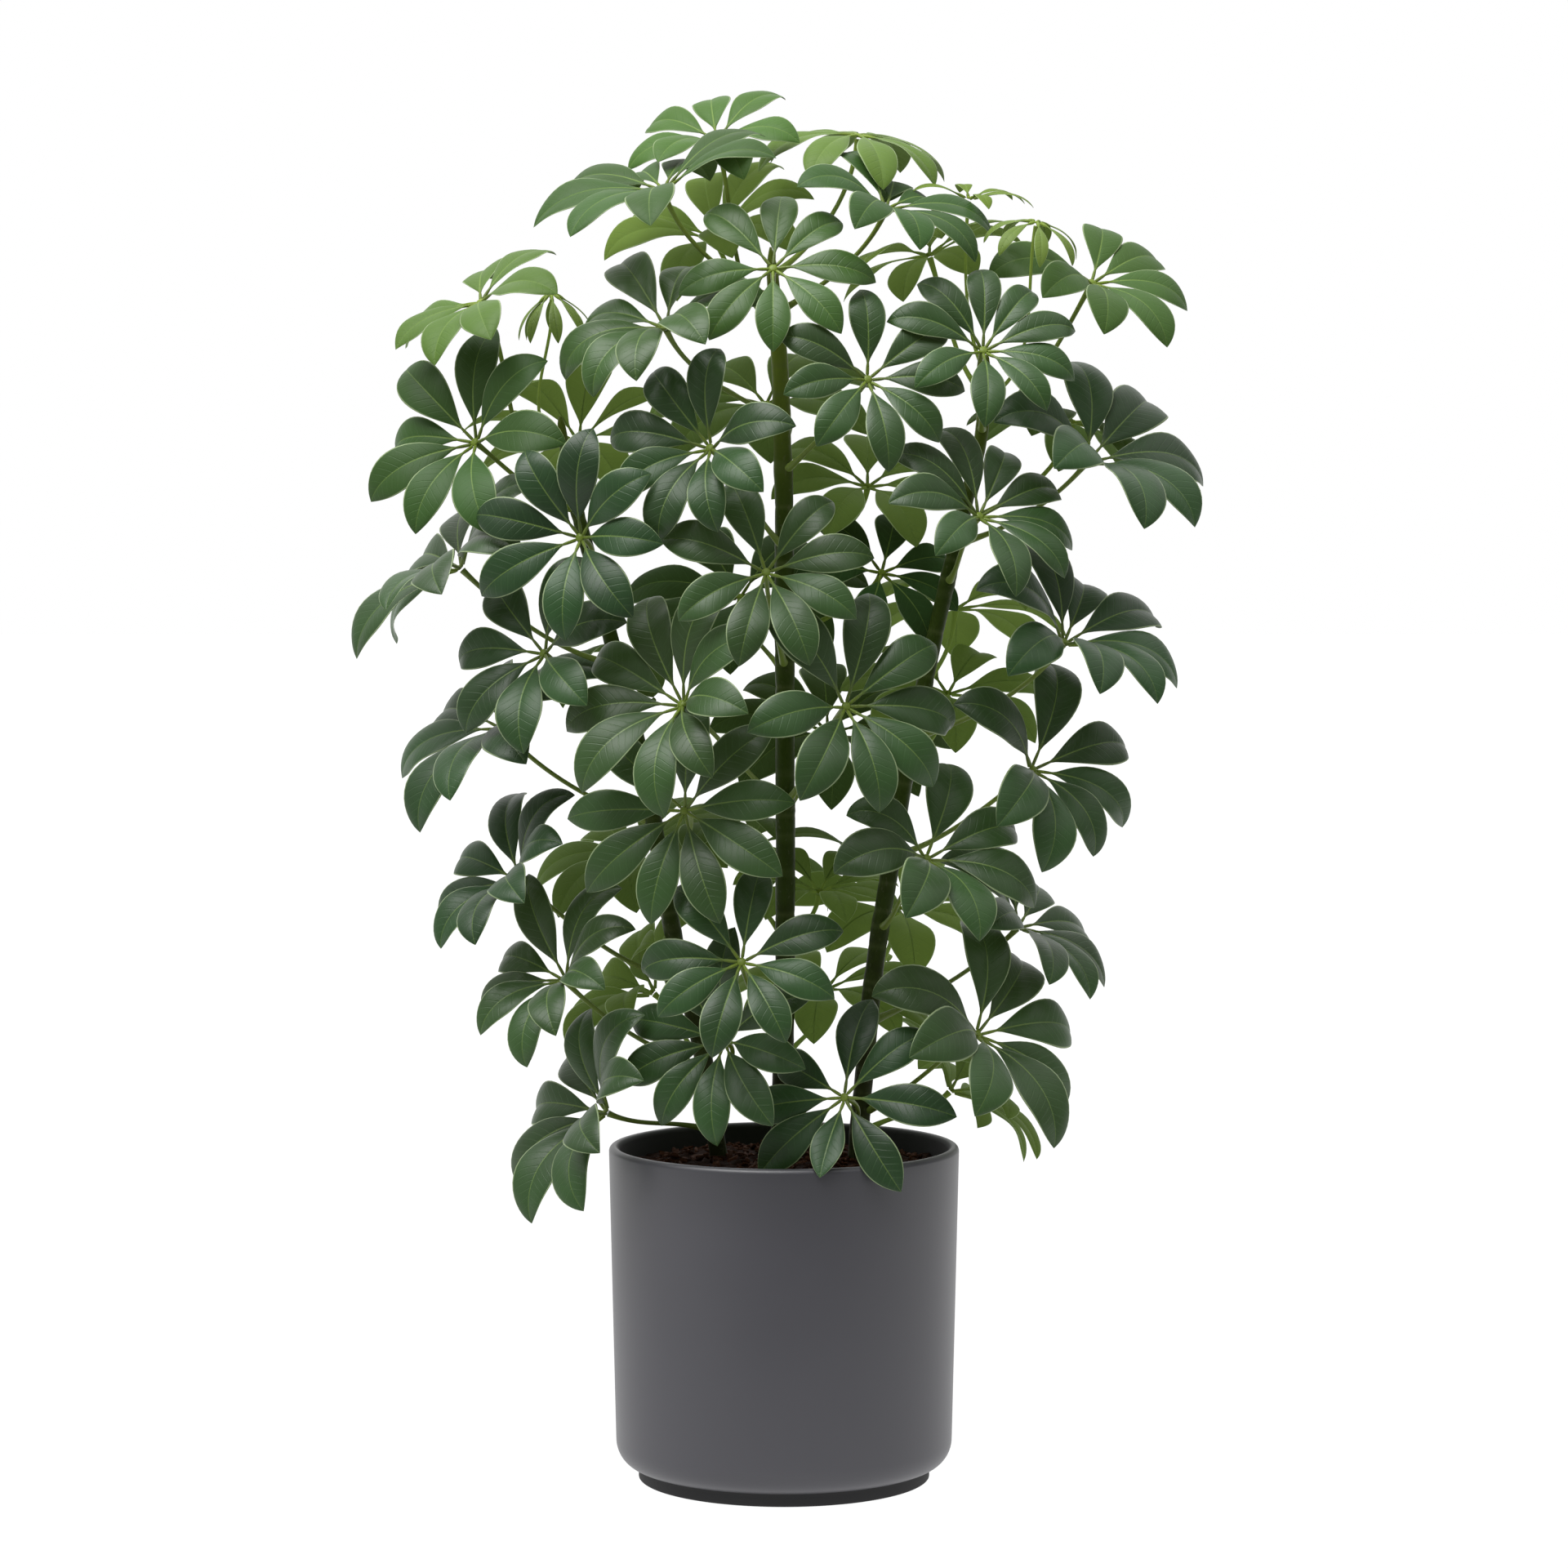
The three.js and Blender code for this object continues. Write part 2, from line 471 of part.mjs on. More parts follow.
// The stalk: a cubic curve from the stem's side to the back of the knob, given as rings of four from the knob
// down, the last one flat against the stem.
function stalkRings(leaf, bow, growth) {
  const { hub, axis, stem } = leaf;
  const height = leaf.givenHeight ?? stalkHeight(leaf);
  const { middle, radius, heading: stemwards } = stemAt(stem, height);
  const outwards = vector(hub.x - middle.x, hub.y - middle.y, 0).normalize();
  outwards.addScaledVector(stemwards, -outwards.dot(stemwards)).normalize();
  const start = along(middle, outwards, radius + FOOT_GAP);
  const end = along(hub, axis, -KNOB_BACK);
  const reachOut = start.distanceTo(end) * PETIOLE_REACH;
  const [sideways, upwards] = bow;
  const bowed = UP.clone().cross(outwards).multiplyScalar(sideways).addScaledVector(UP, upwards);
  const rising = outwards.clone().addScaledVector(UP, 0.5).normalize();
  const curve = new THREE.CubicBezierCurve3(
    start, along(start, rising, reachOut).add(bowed), along(end, axis, -reachOut).add(bowed), end);
  let upright = leaf.top.clone();
  return Array.from({ length: PETIOLE_STEPS + 1 }, (_, k) => {
    const share = 1 - k / PETIOLE_STEPS;
    const heading = k === PETIOLE_STEPS ? outwards : curve.getTangent(share);
    upright = upright.addScaledVector(heading, -upright.dot(heading)).normalize();
    const sidewards = upright.clone().cross(heading);
    const flare = (PETIOLE_BASE_RADIUS - PETIOLE_RADIUS) * (1 - share) ** PETIOLE_FLARE;
    const ringRadius = PETIOLE_RADIUS + flare + growth;
    const middleOfRing = curve.getPoint(share);
    return Array.from({ length: 4 }, (_, corner) => {
      const angle = (corner * Math.PI) / 2;
      return along(middleOfRing, upright, ringRadius * Math.cos(angle))
        .addScaledVector(sidewards, ringRadius * Math.sin(angle));
    });
  });
}

function addStalk(shell, rings) {
  const numbered = rings.map((ring) => ring.map((corner) => shell.add(corner)));
  for (let k = 1; k < numbered.length; k++) shell.wall(numbered[k - 1], numbered[k]);
  shell.face(...numbered.at(-1));
  return numbered[0];
}

function stalkSolid(leaf, bow, growth) {
  const shell = new Shell();
  const first = addStalk(shell, stalkRings(leaf, bow, growth));
  shell.face(...[...first].reverse());
  return shell.solid();
}

// A whole leaf as one closed mesh: knob, stalk and blades share their corners.
function leafShell(leaf, bow, bends) {
  const shell = new Shell();
  const angles = valleyAngles(leaf);
  const valleys = angles.map((angle) => valley(leaf, angle, 0).map((corner) => shell.add(corner)));
  const crown = shell.add(along(leaf.hub, leaf.axis, HUB_CROWN));
  const stalkTop = addStalk(shell, stalkRings(leaf, bow, 0));
  const corners = leaf.angles.map((angle) => Math.round(angle / (Math.PI / 2)));
  leaf.angles.forEach((_, index) => {
    const [leftFront, leftBack] = valleys.at(index - 1);
    const [rightFront, rightBack] = valleys[index];
    shell.face(crown, rightFront, leftFront);
    const corner = corners[index];
    const nextCorner = corners[index + 1] ?? corners[0] + 4;
    shell.face(leftBack, rightBack, stalkTop[corner % 4]);
    if (nextCorner > corner) shell.face(rightBack, stalkTop[nextCorner % 4], stalkTop[corner % 4]);
    if (bends[index]) {
      addBlade(shell, [leftFront, rightFront, rightBack, leftBack], bladeRings(leaf, bends[index], index, 0));
    } else {
      shell.face(leftFront, rightFront, rightBack, leftBack);
    }
  });
  return shell;
}

const TOUCH = 1e-3;
const MARGIN = 0.25;

// What stands already, with the room that each thing takes up.
const placed = [];

function place(solid, owner) {
  placed.push({ solid, owner, room: solid.boundingBox() });
}

function meets(solid, owner, own) {
  const { min, max } = solid.boundingBox();
  return placed.some((other) => {
    if ((other.owner === owner) !== own) return false;
    const apart = [0, 1, 2].some((k) => other.room.min[k] > max[k] || other.room.max[k] < min[k]);
    if (apart) return false;
    return other.solid.intersect(solid).volume() > TOUCH;
  });
}

// The first bow that keeps a stalk clear of all the stems and stalks.
function chooseBow(leaf) {
  const bow = BOWS.find((choice) => !meets(stalkSolid(leaf, choice, MARGIN), leaf.number, false));
  place(stalkSolid(leaf, bow ?? BOWS[0], 0), leaf.number);
  return bow;
}

// The first bend of each leaflet that keeps it clear of the other leaves with a margin, and of its own leaf.
function chooseBends(leaf) {
  return leaf.angles.map((_, index) => {
    const bend = BENDS.find((choice) =>
      !meets(bladeSolid(leaf, choice, index, MARGIN), leaf.number, false)
      && !meets(bladeSolid(leaf, choice, index, 0), leaf.number, true));
    if (bend) place(bladeSolid(leaf, bend, index, 0), leaf.number);
    return bend;
  });
}

function plant() {
  const group = new THREE.Group();
  const pot = potGeometry();
  const soil = soilGeometry();
  group.add(named("pot", pot, GLAZE), named("soil", soil, BARK_SOIL));
  place(solidOf(pot), "pot");
  place(solidOf(soil), "soil");
  for (const [stem, line] of Object.entries(STEMS)) {
    const shell = stemShell(line, 0);
    group.add(named(`stem_${stem}`, shell.geometry(), STEM_GREEN));
    place(shell.solid(), stem);
  }
  const leaves = [...LEAVES, ...YOUNG_LEAVES].map(leafOf).sort((a, b) => a.hub.y - b.hub.y);
  const bows = leaves.map(chooseBow);
  leaves.forEach((leaf, k) => {
    const shell = leafShell(leaf, bows[k] ?? BOWS[0], chooseBends(leaf));
    const name = `leaf_${String(leaf.number).padStart(2, "0")}`;
    group.add(named(name, shell.geometry(), leaf.givenHeight ? YOUNG_LEAF : OLD_LEAF));
  });
  return group;
}

export default plant();
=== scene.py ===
"""A potted umbrella plant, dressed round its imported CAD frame: fine leaves, stems, soil and glazed pot.

Metres, +Z up. The tables of stems and leaves are in millimetres, as in the part's source, and scaled by MM.
"""
import math

import bpy
import numpy as np
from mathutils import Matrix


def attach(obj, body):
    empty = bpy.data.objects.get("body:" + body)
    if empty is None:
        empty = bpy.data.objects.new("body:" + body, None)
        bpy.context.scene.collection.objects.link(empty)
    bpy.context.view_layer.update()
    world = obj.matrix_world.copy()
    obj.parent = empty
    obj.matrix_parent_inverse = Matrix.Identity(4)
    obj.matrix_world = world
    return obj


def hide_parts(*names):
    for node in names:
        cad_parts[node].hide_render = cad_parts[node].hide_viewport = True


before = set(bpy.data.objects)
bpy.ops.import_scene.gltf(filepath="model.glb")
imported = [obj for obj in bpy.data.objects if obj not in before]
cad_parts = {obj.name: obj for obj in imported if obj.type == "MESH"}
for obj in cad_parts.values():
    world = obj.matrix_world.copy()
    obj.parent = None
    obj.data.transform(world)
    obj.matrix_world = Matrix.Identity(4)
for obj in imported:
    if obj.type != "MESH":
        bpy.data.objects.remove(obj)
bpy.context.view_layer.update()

MM = 0.001
UP = np.array([0.0, 0.0, 1.0])
LIGHT = np.array([0.0, -1.0, 0.3]) / math.hypot(1.0, 0.3)
RANDOM = np.random.default_rng(7)

# The camera's place in metres, its tilt in degrees and its lens in millimetres
CAMERA_PLACE = (0.0, -3.23, 0.705)
CAMERA_DOWNWARDS = 3.2
CAMERA_LENS = 98.9

# How far the studio's floor reaches on each side, in metres
FLOOR_REACH = 30.0

# Pot
POT_HEIGHT = 252
RIM_RADIUS = 132
BODY_FOOT_RADIUS = 127
RIM_WALL = 8
FOOT_RADIUS = 110
FOOT_HEIGHT = 10
BOTTOM_ROUND_HEIGHT = 20
FLOOR_HEIGHT = 20
FLOOR_RADIUS = 112
FOOT_ROUND = 1
NECK_ROUND = 0.6
FLOOR_ROUND = 3
POT_SIDES = 160
RIM_ROUND = RIM_WALL / 2
RIM_INSIDE = RIM_RADIUS - RIM_WALL

# Soil
SOIL_EDGE = 236
SOIL_MOUND = 242
SOIL_GAP = 0.5
SOIL_ROUGHNESS = 0.09
SOIL_SUNK = 1.2
SOIL_SIDES = 160
SOIL_RINGS = 44
CHIPS = 620
CHIP_CORNERS = 8
SMALLEST_CHIP = (2.5, 1.2, 0.7)
LARGEST_CHIP = (7.0, 3.2, 1.6)

# Stems: each one's middle line from its foot to its tip: x, y, z and radius.
STEMS = {
    "left": [
        (-36, 24, 150, 7.0), (-47, 22, 225, 6.8), (-61, 20, 315, 6.6), (-86, 16, 420, 6.4),
        (-104, 13, 530, 6.2), (-132, 10, 641, 5.8), (-161, 8, 751, 4.8), (-168, 8, 800, 2.6),
    ],
    "centre": [
        (-5, 22, 150, 8.2), (-3, 18, 225, 8.0), (1, 10, 380, 7.5), (1, 5, 500, 7.3),
        (0, 0, 745, 7.0), (-3, -4, 836, 6.4), (-8, -6, 900, 4.6), (-10, -7, 925, 2.4),
    ],
    "right": [
        (49, 9, 150, 7.6), (54, 8, 225, 7.4), (65, 6, 358, 7.0), (73, 4, 420, 6.8), (90, 0, 524, 6.4),
        (110, -3, 622, 6.2), (125, -5, 690, 5.8), (147, -8, 781, 5.0), (151, -10, 845, 2.6),
    ],
}

# The stem's fine form: scars of fallen leaves, and swellings at the stalks' feet
STEM_SIDES = 24
STEM_STEP = 3.0
SMOOTHED = 9
SCARS = 60
SCAR_STEPS = (14, 34)
SCAR_WIDTH = 1.6
SCAR_DEPTH = 0.3
SWELLING_WIDTH = 6
SWELLING = 0.5

# Leaves: number, stem, the knob's place, the way the whorl faces, the leaflets' length, how far they lean
# forward at the knob and fall back at the tip in degrees, and each leaflet's direction in degrees clockwise
# from the top of the whorl. Low numbers are at the top of the plant, and those from 40 on are at the back.
LEAVES = [
    [1, "centre", [-51, 40, 1009], [-0.25, -0.5, 0.85], 74, 22, 46, [22, 92, 140, 190, 240, 290, 335]],
    [2, "centre", [-89, -40, 965], [-0.3, -0.35, 0.9], 96, 25, 36, [20, 62, 145, 190, 228, 262, 292, 330]],
    [3, "centre", [56, 50, 1013], [0.1, -0.2, 1], 80, 0, 66, [10, 55, 100, 145, 190, 235, 280, 325]],
    [4, "centre", [76, -20, 953], [0.35, -0.4, 0.85], 84, 30, 46, [5, 32, 65, 118, 148, 200, 238, 285]],
    [5, "centre", [-52, 75, 937], [-0.3, -0.45, 0.85], 90, 42, 46, [15, 55, 95, 130, 165, 230, 270, 330]],
    [6, "centre", [-8, -75, 905], [0, -0.85, 0.55], 74, 15, 46, [5, 45, 92, 135, 180, 220, 258, 320]],
    [7, "centre", [-87, -65, 863], [-0.35, -0.5, 0.8], 90, 42, 46, [60, 122, 156, 190, 226, 262, 305, 350]],
    [9, "left", [-227, 0, 885], [-0.5, -0.3, 0.8], 84, 15, 46, [75, 118, 150, 182, 240, 310, 345]],
    [10, "left", [-230, -20, 780], [-0.5, -0.75, 0.4], 92, 35, 40, [2, 42, 90, 150, 195, 235, 262, 310]],
    [12, "right", [232, 26, 901], [0.4, -0.5, 0.75], 84, 30, 46, [35, 75, 115, 170, 205, 245, 295]],
    [14, "right", [146, -65, 846], [0.2, -0.8, 0.55], 74, 30, 46, [5, 40, 75, 108, 145, 190, 240, 290, 325]],
    [15, "centre", [61, -85, 824], [0.25, -0.9, 0.35], 74, 30, 46, [0, 55, 95, 135, 175, 222, 255, 292]],
    [16, "centre", [-54, -100, 774], [-0.45, -0.8, 0.4], 84, 42, 46, [0, 80, 115, 148, 190, 230, 275, 325]],
    [17, "left", [-149, -85, 709], [-0.35, -0.9, 0.1], 84, 42, 46, [10, 45, 85, 130, 180, 240, 285, 330]],
    [18, "right", [143, -80, 725], [0.45, -0.6, 0.65], 84, 30, 46, [0, 33, 70, 110, 145, 190, 240, 272, 315]],
    [19, "right", [228, 0, 767], [0.55, -0.45, 0.7], 106, 42, 46, [20, 65, 115, 160, 205, 255, 290]],
    [20, "centre", [-13, -110, 684], [0, -0.9, 0.4], 80, 30, 46, [40, 80, 112, 150, 195, 240, 290, 340]],
    [21, "centre", [74, 30, 683], [0.3, -0.7, 0.65], 68, 15, 46, [25, 75, 118, 160, 210, 270, 330]],
    [22, "right", [209, -30, 632], [0.5, -0.4, 0.75], 102, 42, 46, [10, 42, 85, 132, 170, 212, 248, 290]],
    [23, "left", [-243, 0, 687], [-0.7, -0.15, 0.7], 104, 30, 46, [30, 70, 100, 130, 190, 218, 265, 305]],
    [24, "left", [-178, -50, 624], [-0.6, -0.7, 0.45], 84, 30, 46, [20, 70, 120, 165, 215, 265, 312]],
    [25, "centre", [-75, -95, 588], [-0.6, -0.7, 0.5], 98, 42, 46,
     [15, 55, 90, 122, 160, 210, 245, 285, 325]],
    [26, "centre", [45, -110, 587], [0.3, -0.88, 0.35], 92, 36, 46, [15, 50, 85, 125, 170, 215, 258, 322]],
    [27, "left", [-214, 10, 567], [-0.6, -0.3, 0.7], 102, 30, 46, [20, 62, 105, 140, 175, 230, 268, 305]],
    [28, "left", [-73, -92, 510], [-0.3, -0.9, 0.2], 90, 25, 36, [8, 45, 82, 117, 155, 192, 230, 268, 312]],
    [29, "right", [186, -20, 537], [0.6, -0.6, 0.55], 98, 42, 46, [28, 86, 119, 152, 192, 240, 305, 342]],
    [30, "left", [-200, 0, 452], [-0.7, -0.35, 0.6], 86, 42, 46, [25, 65, 105, 145, 190, 222, 270, 325]],
    [31, "right", [105, -85, 475], [0.5, -0.6, 0.6], 94, 42, 46, [30, 82, 120, 185, 230, 262, 298]],
    [32, "centre", [-31, -110, 401], [-0.05, -0.9, 0.4], 78, 30, 46, [10, 70, 110, 150, 195, 230, 262, 320]],
    [33, "left", [-165, -25, 380], [-0.55, -0.5, 0.65], 84, 42, 46,
     [15, 55, 98, 130, 162, 200, 232, 268, 330]],
    [34, "right", [178, 15, 416], [0.65, -0.25, 0.7], 86, 30, 46, [25, 70, 105, 150, 188, 230, 275, 325]],
    [35, "centre", [27, 60, 439], [0.1, -0.3, 0.9], 70, 30, 46, [40, 90, 135, 180, 230, 280, 340]],
    [36, "right", [144, -55, 342], [0.7, -0.5, 0.5], 106, 36, 48, [18, 50, 98, 130, 170, 230, 262, 295]],
    [37, "left", [-45, -70, 339], [-0.45, -0.8, 0.3], 84, 30, 46,
     [20, 60, 100, 135, 170, 210, 245, 280, 325]],
    [38, "right", [44, -95, 300], [-0.45, -0.85, 0.3], 80, 0, 46, [0, 40, 90, 140, 178, 215, 250, 295]],
    [39, "left", [-134, -25, 280], [-0.9, -0.3, 0.45], 102, 42, 46,
     [30, 65, 98, 132, 172, 215, 252, 290, 325]],
    [40, "right", [129, 60, 286], [0.7, 0.2, 0.65], 90, 30, 46, [40, 85, 130, 180, 220, 258, 300, 350]],
    [41, "left", [-102, 75, 360], [-0.7, -0.2, 0.65], 84, 42, 46, [20, 68, 115, 165, 212, 258, 305]],
    [42, "right", [88, 85, 424], [0.1, -0.4, 0.8], 90, 20, 50, [30, 80, 130, 185, 235, 285, 335]],
    [43, "right", [132, 90, 655], [0.1, 0.3, 0.95], 92, 15, 56, [15, 65, 115, 165, 210, 255, 305]],
    [44, "right", [126, 80, 590], [0.1, -0.4, 0.8], 88, 20, 50, [35, 90, 140, 190, 235, 285, 340]],
    [45, "centre", [64, 75, 749], [0.1, -0.45, 0.8], 84, 20, 50, [10, 60, 112, 165, 215, 265, 318]],
    [46, "left", [-157, 70, 783], [-0.15, 0.55, 0.8], 90, 30, 46, [0, 40, 85, 125, 165, 215, 265, 310]],
    [47, "right", [110, 60, 924], [-0.3, 0.2, 0.95], 78, 15, 46, [0, 50, 105, 165, 220, 265, 315]],
    [48, "right", [222, 85, 798], [0.3, 0.1, 0.95], 90, 5, 66, [10, 60, 110, 155, 200, 255, 310]],
    [51, "centre", [-14, 85, 812], [-0.1, -0.4, 0.8], 96, 20, 50, [10, 60, 112, 165, 215, 265, 318]],
    [52, "centre", [-34, 85, 664], [-0.1, -0.5, 0.75], 100, 20, 50, [25, 72, 122, 175, 225, 275, 328]],
    [54, "centre", [34, 88, 560], [0.1, -0.5, 0.75], 96, 20, 50, [5, 50, 95, 140, 188, 235, 280, 322]],
    [55, "left", [-112, 95, 618], [-0.3, 0.15, 0.95], 94, 20, 60, [15, 60, 105, 150, 195, 240, 285, 330]],
    [56, "left", [-114, 95, 466], [-0.3, -0.3, 0.8], 92, 20, 56, [35, 85, 138, 190, 240, 290, 342]],
    [58, "centre", [-28, 112, 470], [0.1, 0.3, 0.9], 94, 20, 60, [20, 72, 122, 172, 225, 275, 328]],
    [59, "centre", [32, 80, 362], [-0.1, -0.3, 0.9], 84, 20, 56, [20, 70, 120, 170, 220, 270, 320]],
]

# Young leaves, half folded like a closed umbrella: as above, then the height at which the stalk leaves the
# stem.
YOUNG_LEAVES = [
    [8, "left", [-174, 5, 890], [-0.1, -0.15, 1], 42, -35, 84, [5, 50, 95, 140, 185, 230, 275, 320], 785],
    [11, "right", [187, -25, 942], [0.2, -0.3, 1], 45, -10, 84, [0, 50, 102, 155, 205, 255, 308], 815],
    [49, "right", [139, 24, 964], [0.1, -0.2, 1], 46, 20, 40, [20, 72, 96, 120, 190, 280], 835],
]

# How leaves differ in finish, by number: from BACK_LEAVES on they are at the back and PAINTED_BACK_SHADE
# darkens them with painted shade, TOP_LEAVES are softer, SHADED_LEAVES hide behind others, and CALM_LEAVES
# stay flatter to keep clear of their neighbours. The last two tables say how far a leaf goes towards yellow
# olive with a faint glow, which is painted light shining through it from behind, and towards a fresh green.
BACK_LEAVES = 40
# Painted shade that darkens the leaves at the back
PAINTED_BACK_SHADE = 0.5
TOP_LEAVES = (1, 2, 3, 4, 9, 10, 12)
SHADED_LEAVES = (5, 21, 35)
CALM_LEAVES = (4, 10, 12, 17, 25, 28, 56, 58)
PAINTED_BACKLIGHT_LEAVES = {
    3: 0.55, 5: 0.75, 9: 0.35, 10: 0.1, 21: 0.1, 35: 0.65, 42: 0.9, 43: 0.9, 44: 0.7, 46: 0.9, 47: 0.8,
    48: 0.3, 51: 0.45, 52: 0.15, 54: 0.2, 55: 0.3, 56: 0.5, 58: 0.3, 59: 0.8,
}
FRESH_LEAVES = {
    1: 0.6, 2: 0.2, 3: 0.7, 4: 0.25, 6: 0.4, 7: 0.15, 9: 0.55, 10: 0.2, 12: 0.35, 14: 0.15,
}

# What a leaflet may have done to keep clear of its neighbours: degrees of droop, degrees of turn about the
# knob, and share of its length.
BENDS = np.array([
    [0, 0, 1], [9, 0, 1], [-9, 0, 1], [0, 6, 1], [0, -6, 1], [18, 0, 1], [-18, 0, 1], [9, 6, 1],
    [-9, -6, 1], [-9, 6, 1], [9, -6, 1], [30, 0, 1], [-30, 0, 1], [18, 8, 1], [-18, -8, 1], [-18, 8, 1],
    [18, -8, 1], [-45, 0, 1], [45, 0, 1], [-30, 10, 1], [-30, -10, 1], [30, 10, 1], [30, -10, 1],
    [0, 0, 0.85], [-20, 0, 0.85], [20, 0, 0.85], [-20, 12, 0.85], [20, 12, 0.85], [-20, -12, 0.85],
    [20, -12, 0.85], [-40, 8, 0.85], [-40, -8, 0.85], [45, 0, 0.85], [-60, 0, 0.85], [0, 0, 0.7],
    [-30, 0, 0.7], [30, 0, 0.7], [0, 14, 0.7], [0, -14, 0.7], [-30, 14, 0.7], [-30, -14, 0.7],
    [30, 14, 0.7], [30, -14, 0.7], [-60, 0, 0.7], [0, 0, 0.55], [-40, 0, 0.55], [40, 0, 0.55],
    [-70, 0, 0.55], [60, 0, 0.55],
])
BEND_MATCH = 0.05

# The leaf's form, the same as the CAD's: its thickness, widths as shares, angles, and the stalk's sizes.
PATH_STEPS = 24
CAD_THICKNESS = 0.8
CAD_TIP_WIDTH = 0.3
LENGTH_TO_WIDTH = 2.45
NARROWING = 0.2
YOUNG_SLIMNESS = 1.7
BASE_TAPER = 1.3
TIP_TAPER = 0.95
TWIST = math.radians(3)
LIGHTWARDS = 0.9
SAG = 0.2
DROOP_AT_KNOB = 0.5
STALKLET = 0.1
LENGTH_SPREAD = 0.12
PATH_START = 4
PETIOLE_RADIUS = 1.7
PETIOLE_BASE_RADIUS = 3.2
PETIOLE_RISE = 0.6
PETIOLE_REACH = 0.35
PETIOLE_FLARE = 8
KNOB_BACK = 3
FOOT_GAP = 0.36
LOWEST_PETIOLE = 262
TIP_STRETCH = 45

# The fine leaf: how many rings run along a leaflet, the shares of its half width where its points lie, and
# the blade's, the stalk's and the knob's fine form.
BLADE_RINGS = 30
BLADE_SHARES = np.array([
    -1, -0.97, -0.88, -0.72, -0.5, -0.25, -0.07, 0, 0.07, 0.25, 0.5, 0.72, 0.88, 0.97, 1,
])
BLADE_HALF_THICKNESS = 0.3
STALKLET_RADIUS = 1.25
RIB_RIDGE = 0.45
RIB_GROOVE = 0.22
BLADE_ARCH = 0.12
FOLD = 0.02
FOLD_SPREAD = 0.2
WAVE_HEIGHT = 0.08
WAVES_ALONG = 1.6
CALM_RIPPLE = 0.3
PETIOLE_RINGS = 26
PETIOLE_SIDES = 12
PETIOLE_SUNK = 0.6
PETIOLE_SWELLING = 0.9
YOUNG_PETIOLE = 0.7
KNOB_RADIUS = 3.4
KNOB_HEIGHT = 1.6
KNOB_SIDES = 20
YOUNG_KNOB = 0.6


def unit(vectors):
    """Vectors scaled to length 1."""
    return vectors / np.linalg.norm(vectors, axis=-1, keepdims=True)


def wobble(index, salt):
    """An even spread of small differences between minus and plus a half."""
    return (index * 0.6180339887 + salt * 0.7548776662) % 1 - 0.5


def step_between(low, high, values):
    """0 up to low, 1 from high on, and a smooth rise between them."""
    share = np.clip((values - low) / (high - low), 0, 1)
    return share * share * (3 - 2 * share)


class Body:
    """A mesh put together from closed tubes. Each point also has numbers that the material reads by name."""

    def __init__(self, *looks):
        self.looks = {look: [] for look in looks}
        self.points = []
        self.faces = []
        self.count = 0

    def add(self, points, faces, **looks):
        """Adds points, faces of point numbers, and for each look a number or one number a point."""
        self.points.append(points)
        self.faces += [(part + self.count).tolist() for part in faces]
        for look, values in self.looks.items():
            values.append(np.broadcast_to(looks.get(look, 0.0), len(points)))
        self.count += len(points)

    def tube(self, rings, start, end, **looks):
        """A grid of rings, each turning right-handed about the way from the start pole to the end pole.

        A look is given as an array of rings by points round, or as one number, and the poles take the look of
        the ring beside them.
        """
        count, around, _ = rings.shape
        points = np.vstack([start[None], rings.reshape(-1, 3), end[None]])
        spread = {}
        for look, values in looks.items():
            full = np.broadcast_to(values, (count, around))
            spread[look] = np.concatenate([full[0, :1], full.reshape(-1), full[-1, :1]])
        number = 1 + np.arange(count * around).reshape(count, around)
        following = np.roll(number, -1, axis=1)
        walls = np.stack([number[:-1], following[:-1], following[1:], number[1:]], -1).reshape(-1, 4)
        last = np.full(around, count * around + 1)
        first_cap = np.stack([np.zeros(around, int), following[0], number[0]], -1)
        last_cap = np.stack([last, number[-1], following[-1]], -1)
        self.add(points, [walls, first_cap, last_cap], **spread)

    def piece(self, name, paint, slot, *nodes):
        """Makes the mesh, smooth shaded, as a piece that stands for CAD nodes."""
        faces = [face for part in self.faces for face in part]
        mesh = bpy.data.meshes.new(name)
        mesh.from_pydata((np.vstack(self.points) * MM).tolist(), [], faces)
        mesh.polygons.foreach_set("use_smooth", np.ones(len(faces), bool))
        for look, values in self.looks.items():
            attribute = mesh.attributes.new(look, "FLOAT", "POINT")
            attribute.data.foreach_set("value", np.concatenate(values).astype(np.float32))
        mesh.materials.append(paint)
        made = bpy.data.objects.new(name, mesh)
        bpy.context.scene.collection.objects.link(made)
        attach(made, "root")
        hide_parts(*nodes)


# Materials

class Signal:
    """One output of a node. Arithmetic on signals adds Math nodes."""

    def __init__(self, nodes, socket):
        self.nodes = nodes
        self.socket = socket

    def __add__(self, other):
        return self.nodes.math("ADD", self, other)

    def __sub__(self, other):
        return self.nodes.math("SUBTRACT", self, other)

    def __rsub__(self, other):
        return self.nodes.math("SUBTRACT", other, self)

    def __mul__(self, other):
        return self.nodes.math("MULTIPLY", self, other)

    def __pow__(self, other):
        return self.nodes.math("POWER", self, other)

    __radd__ = __add__
    __rmul__ = __mul__


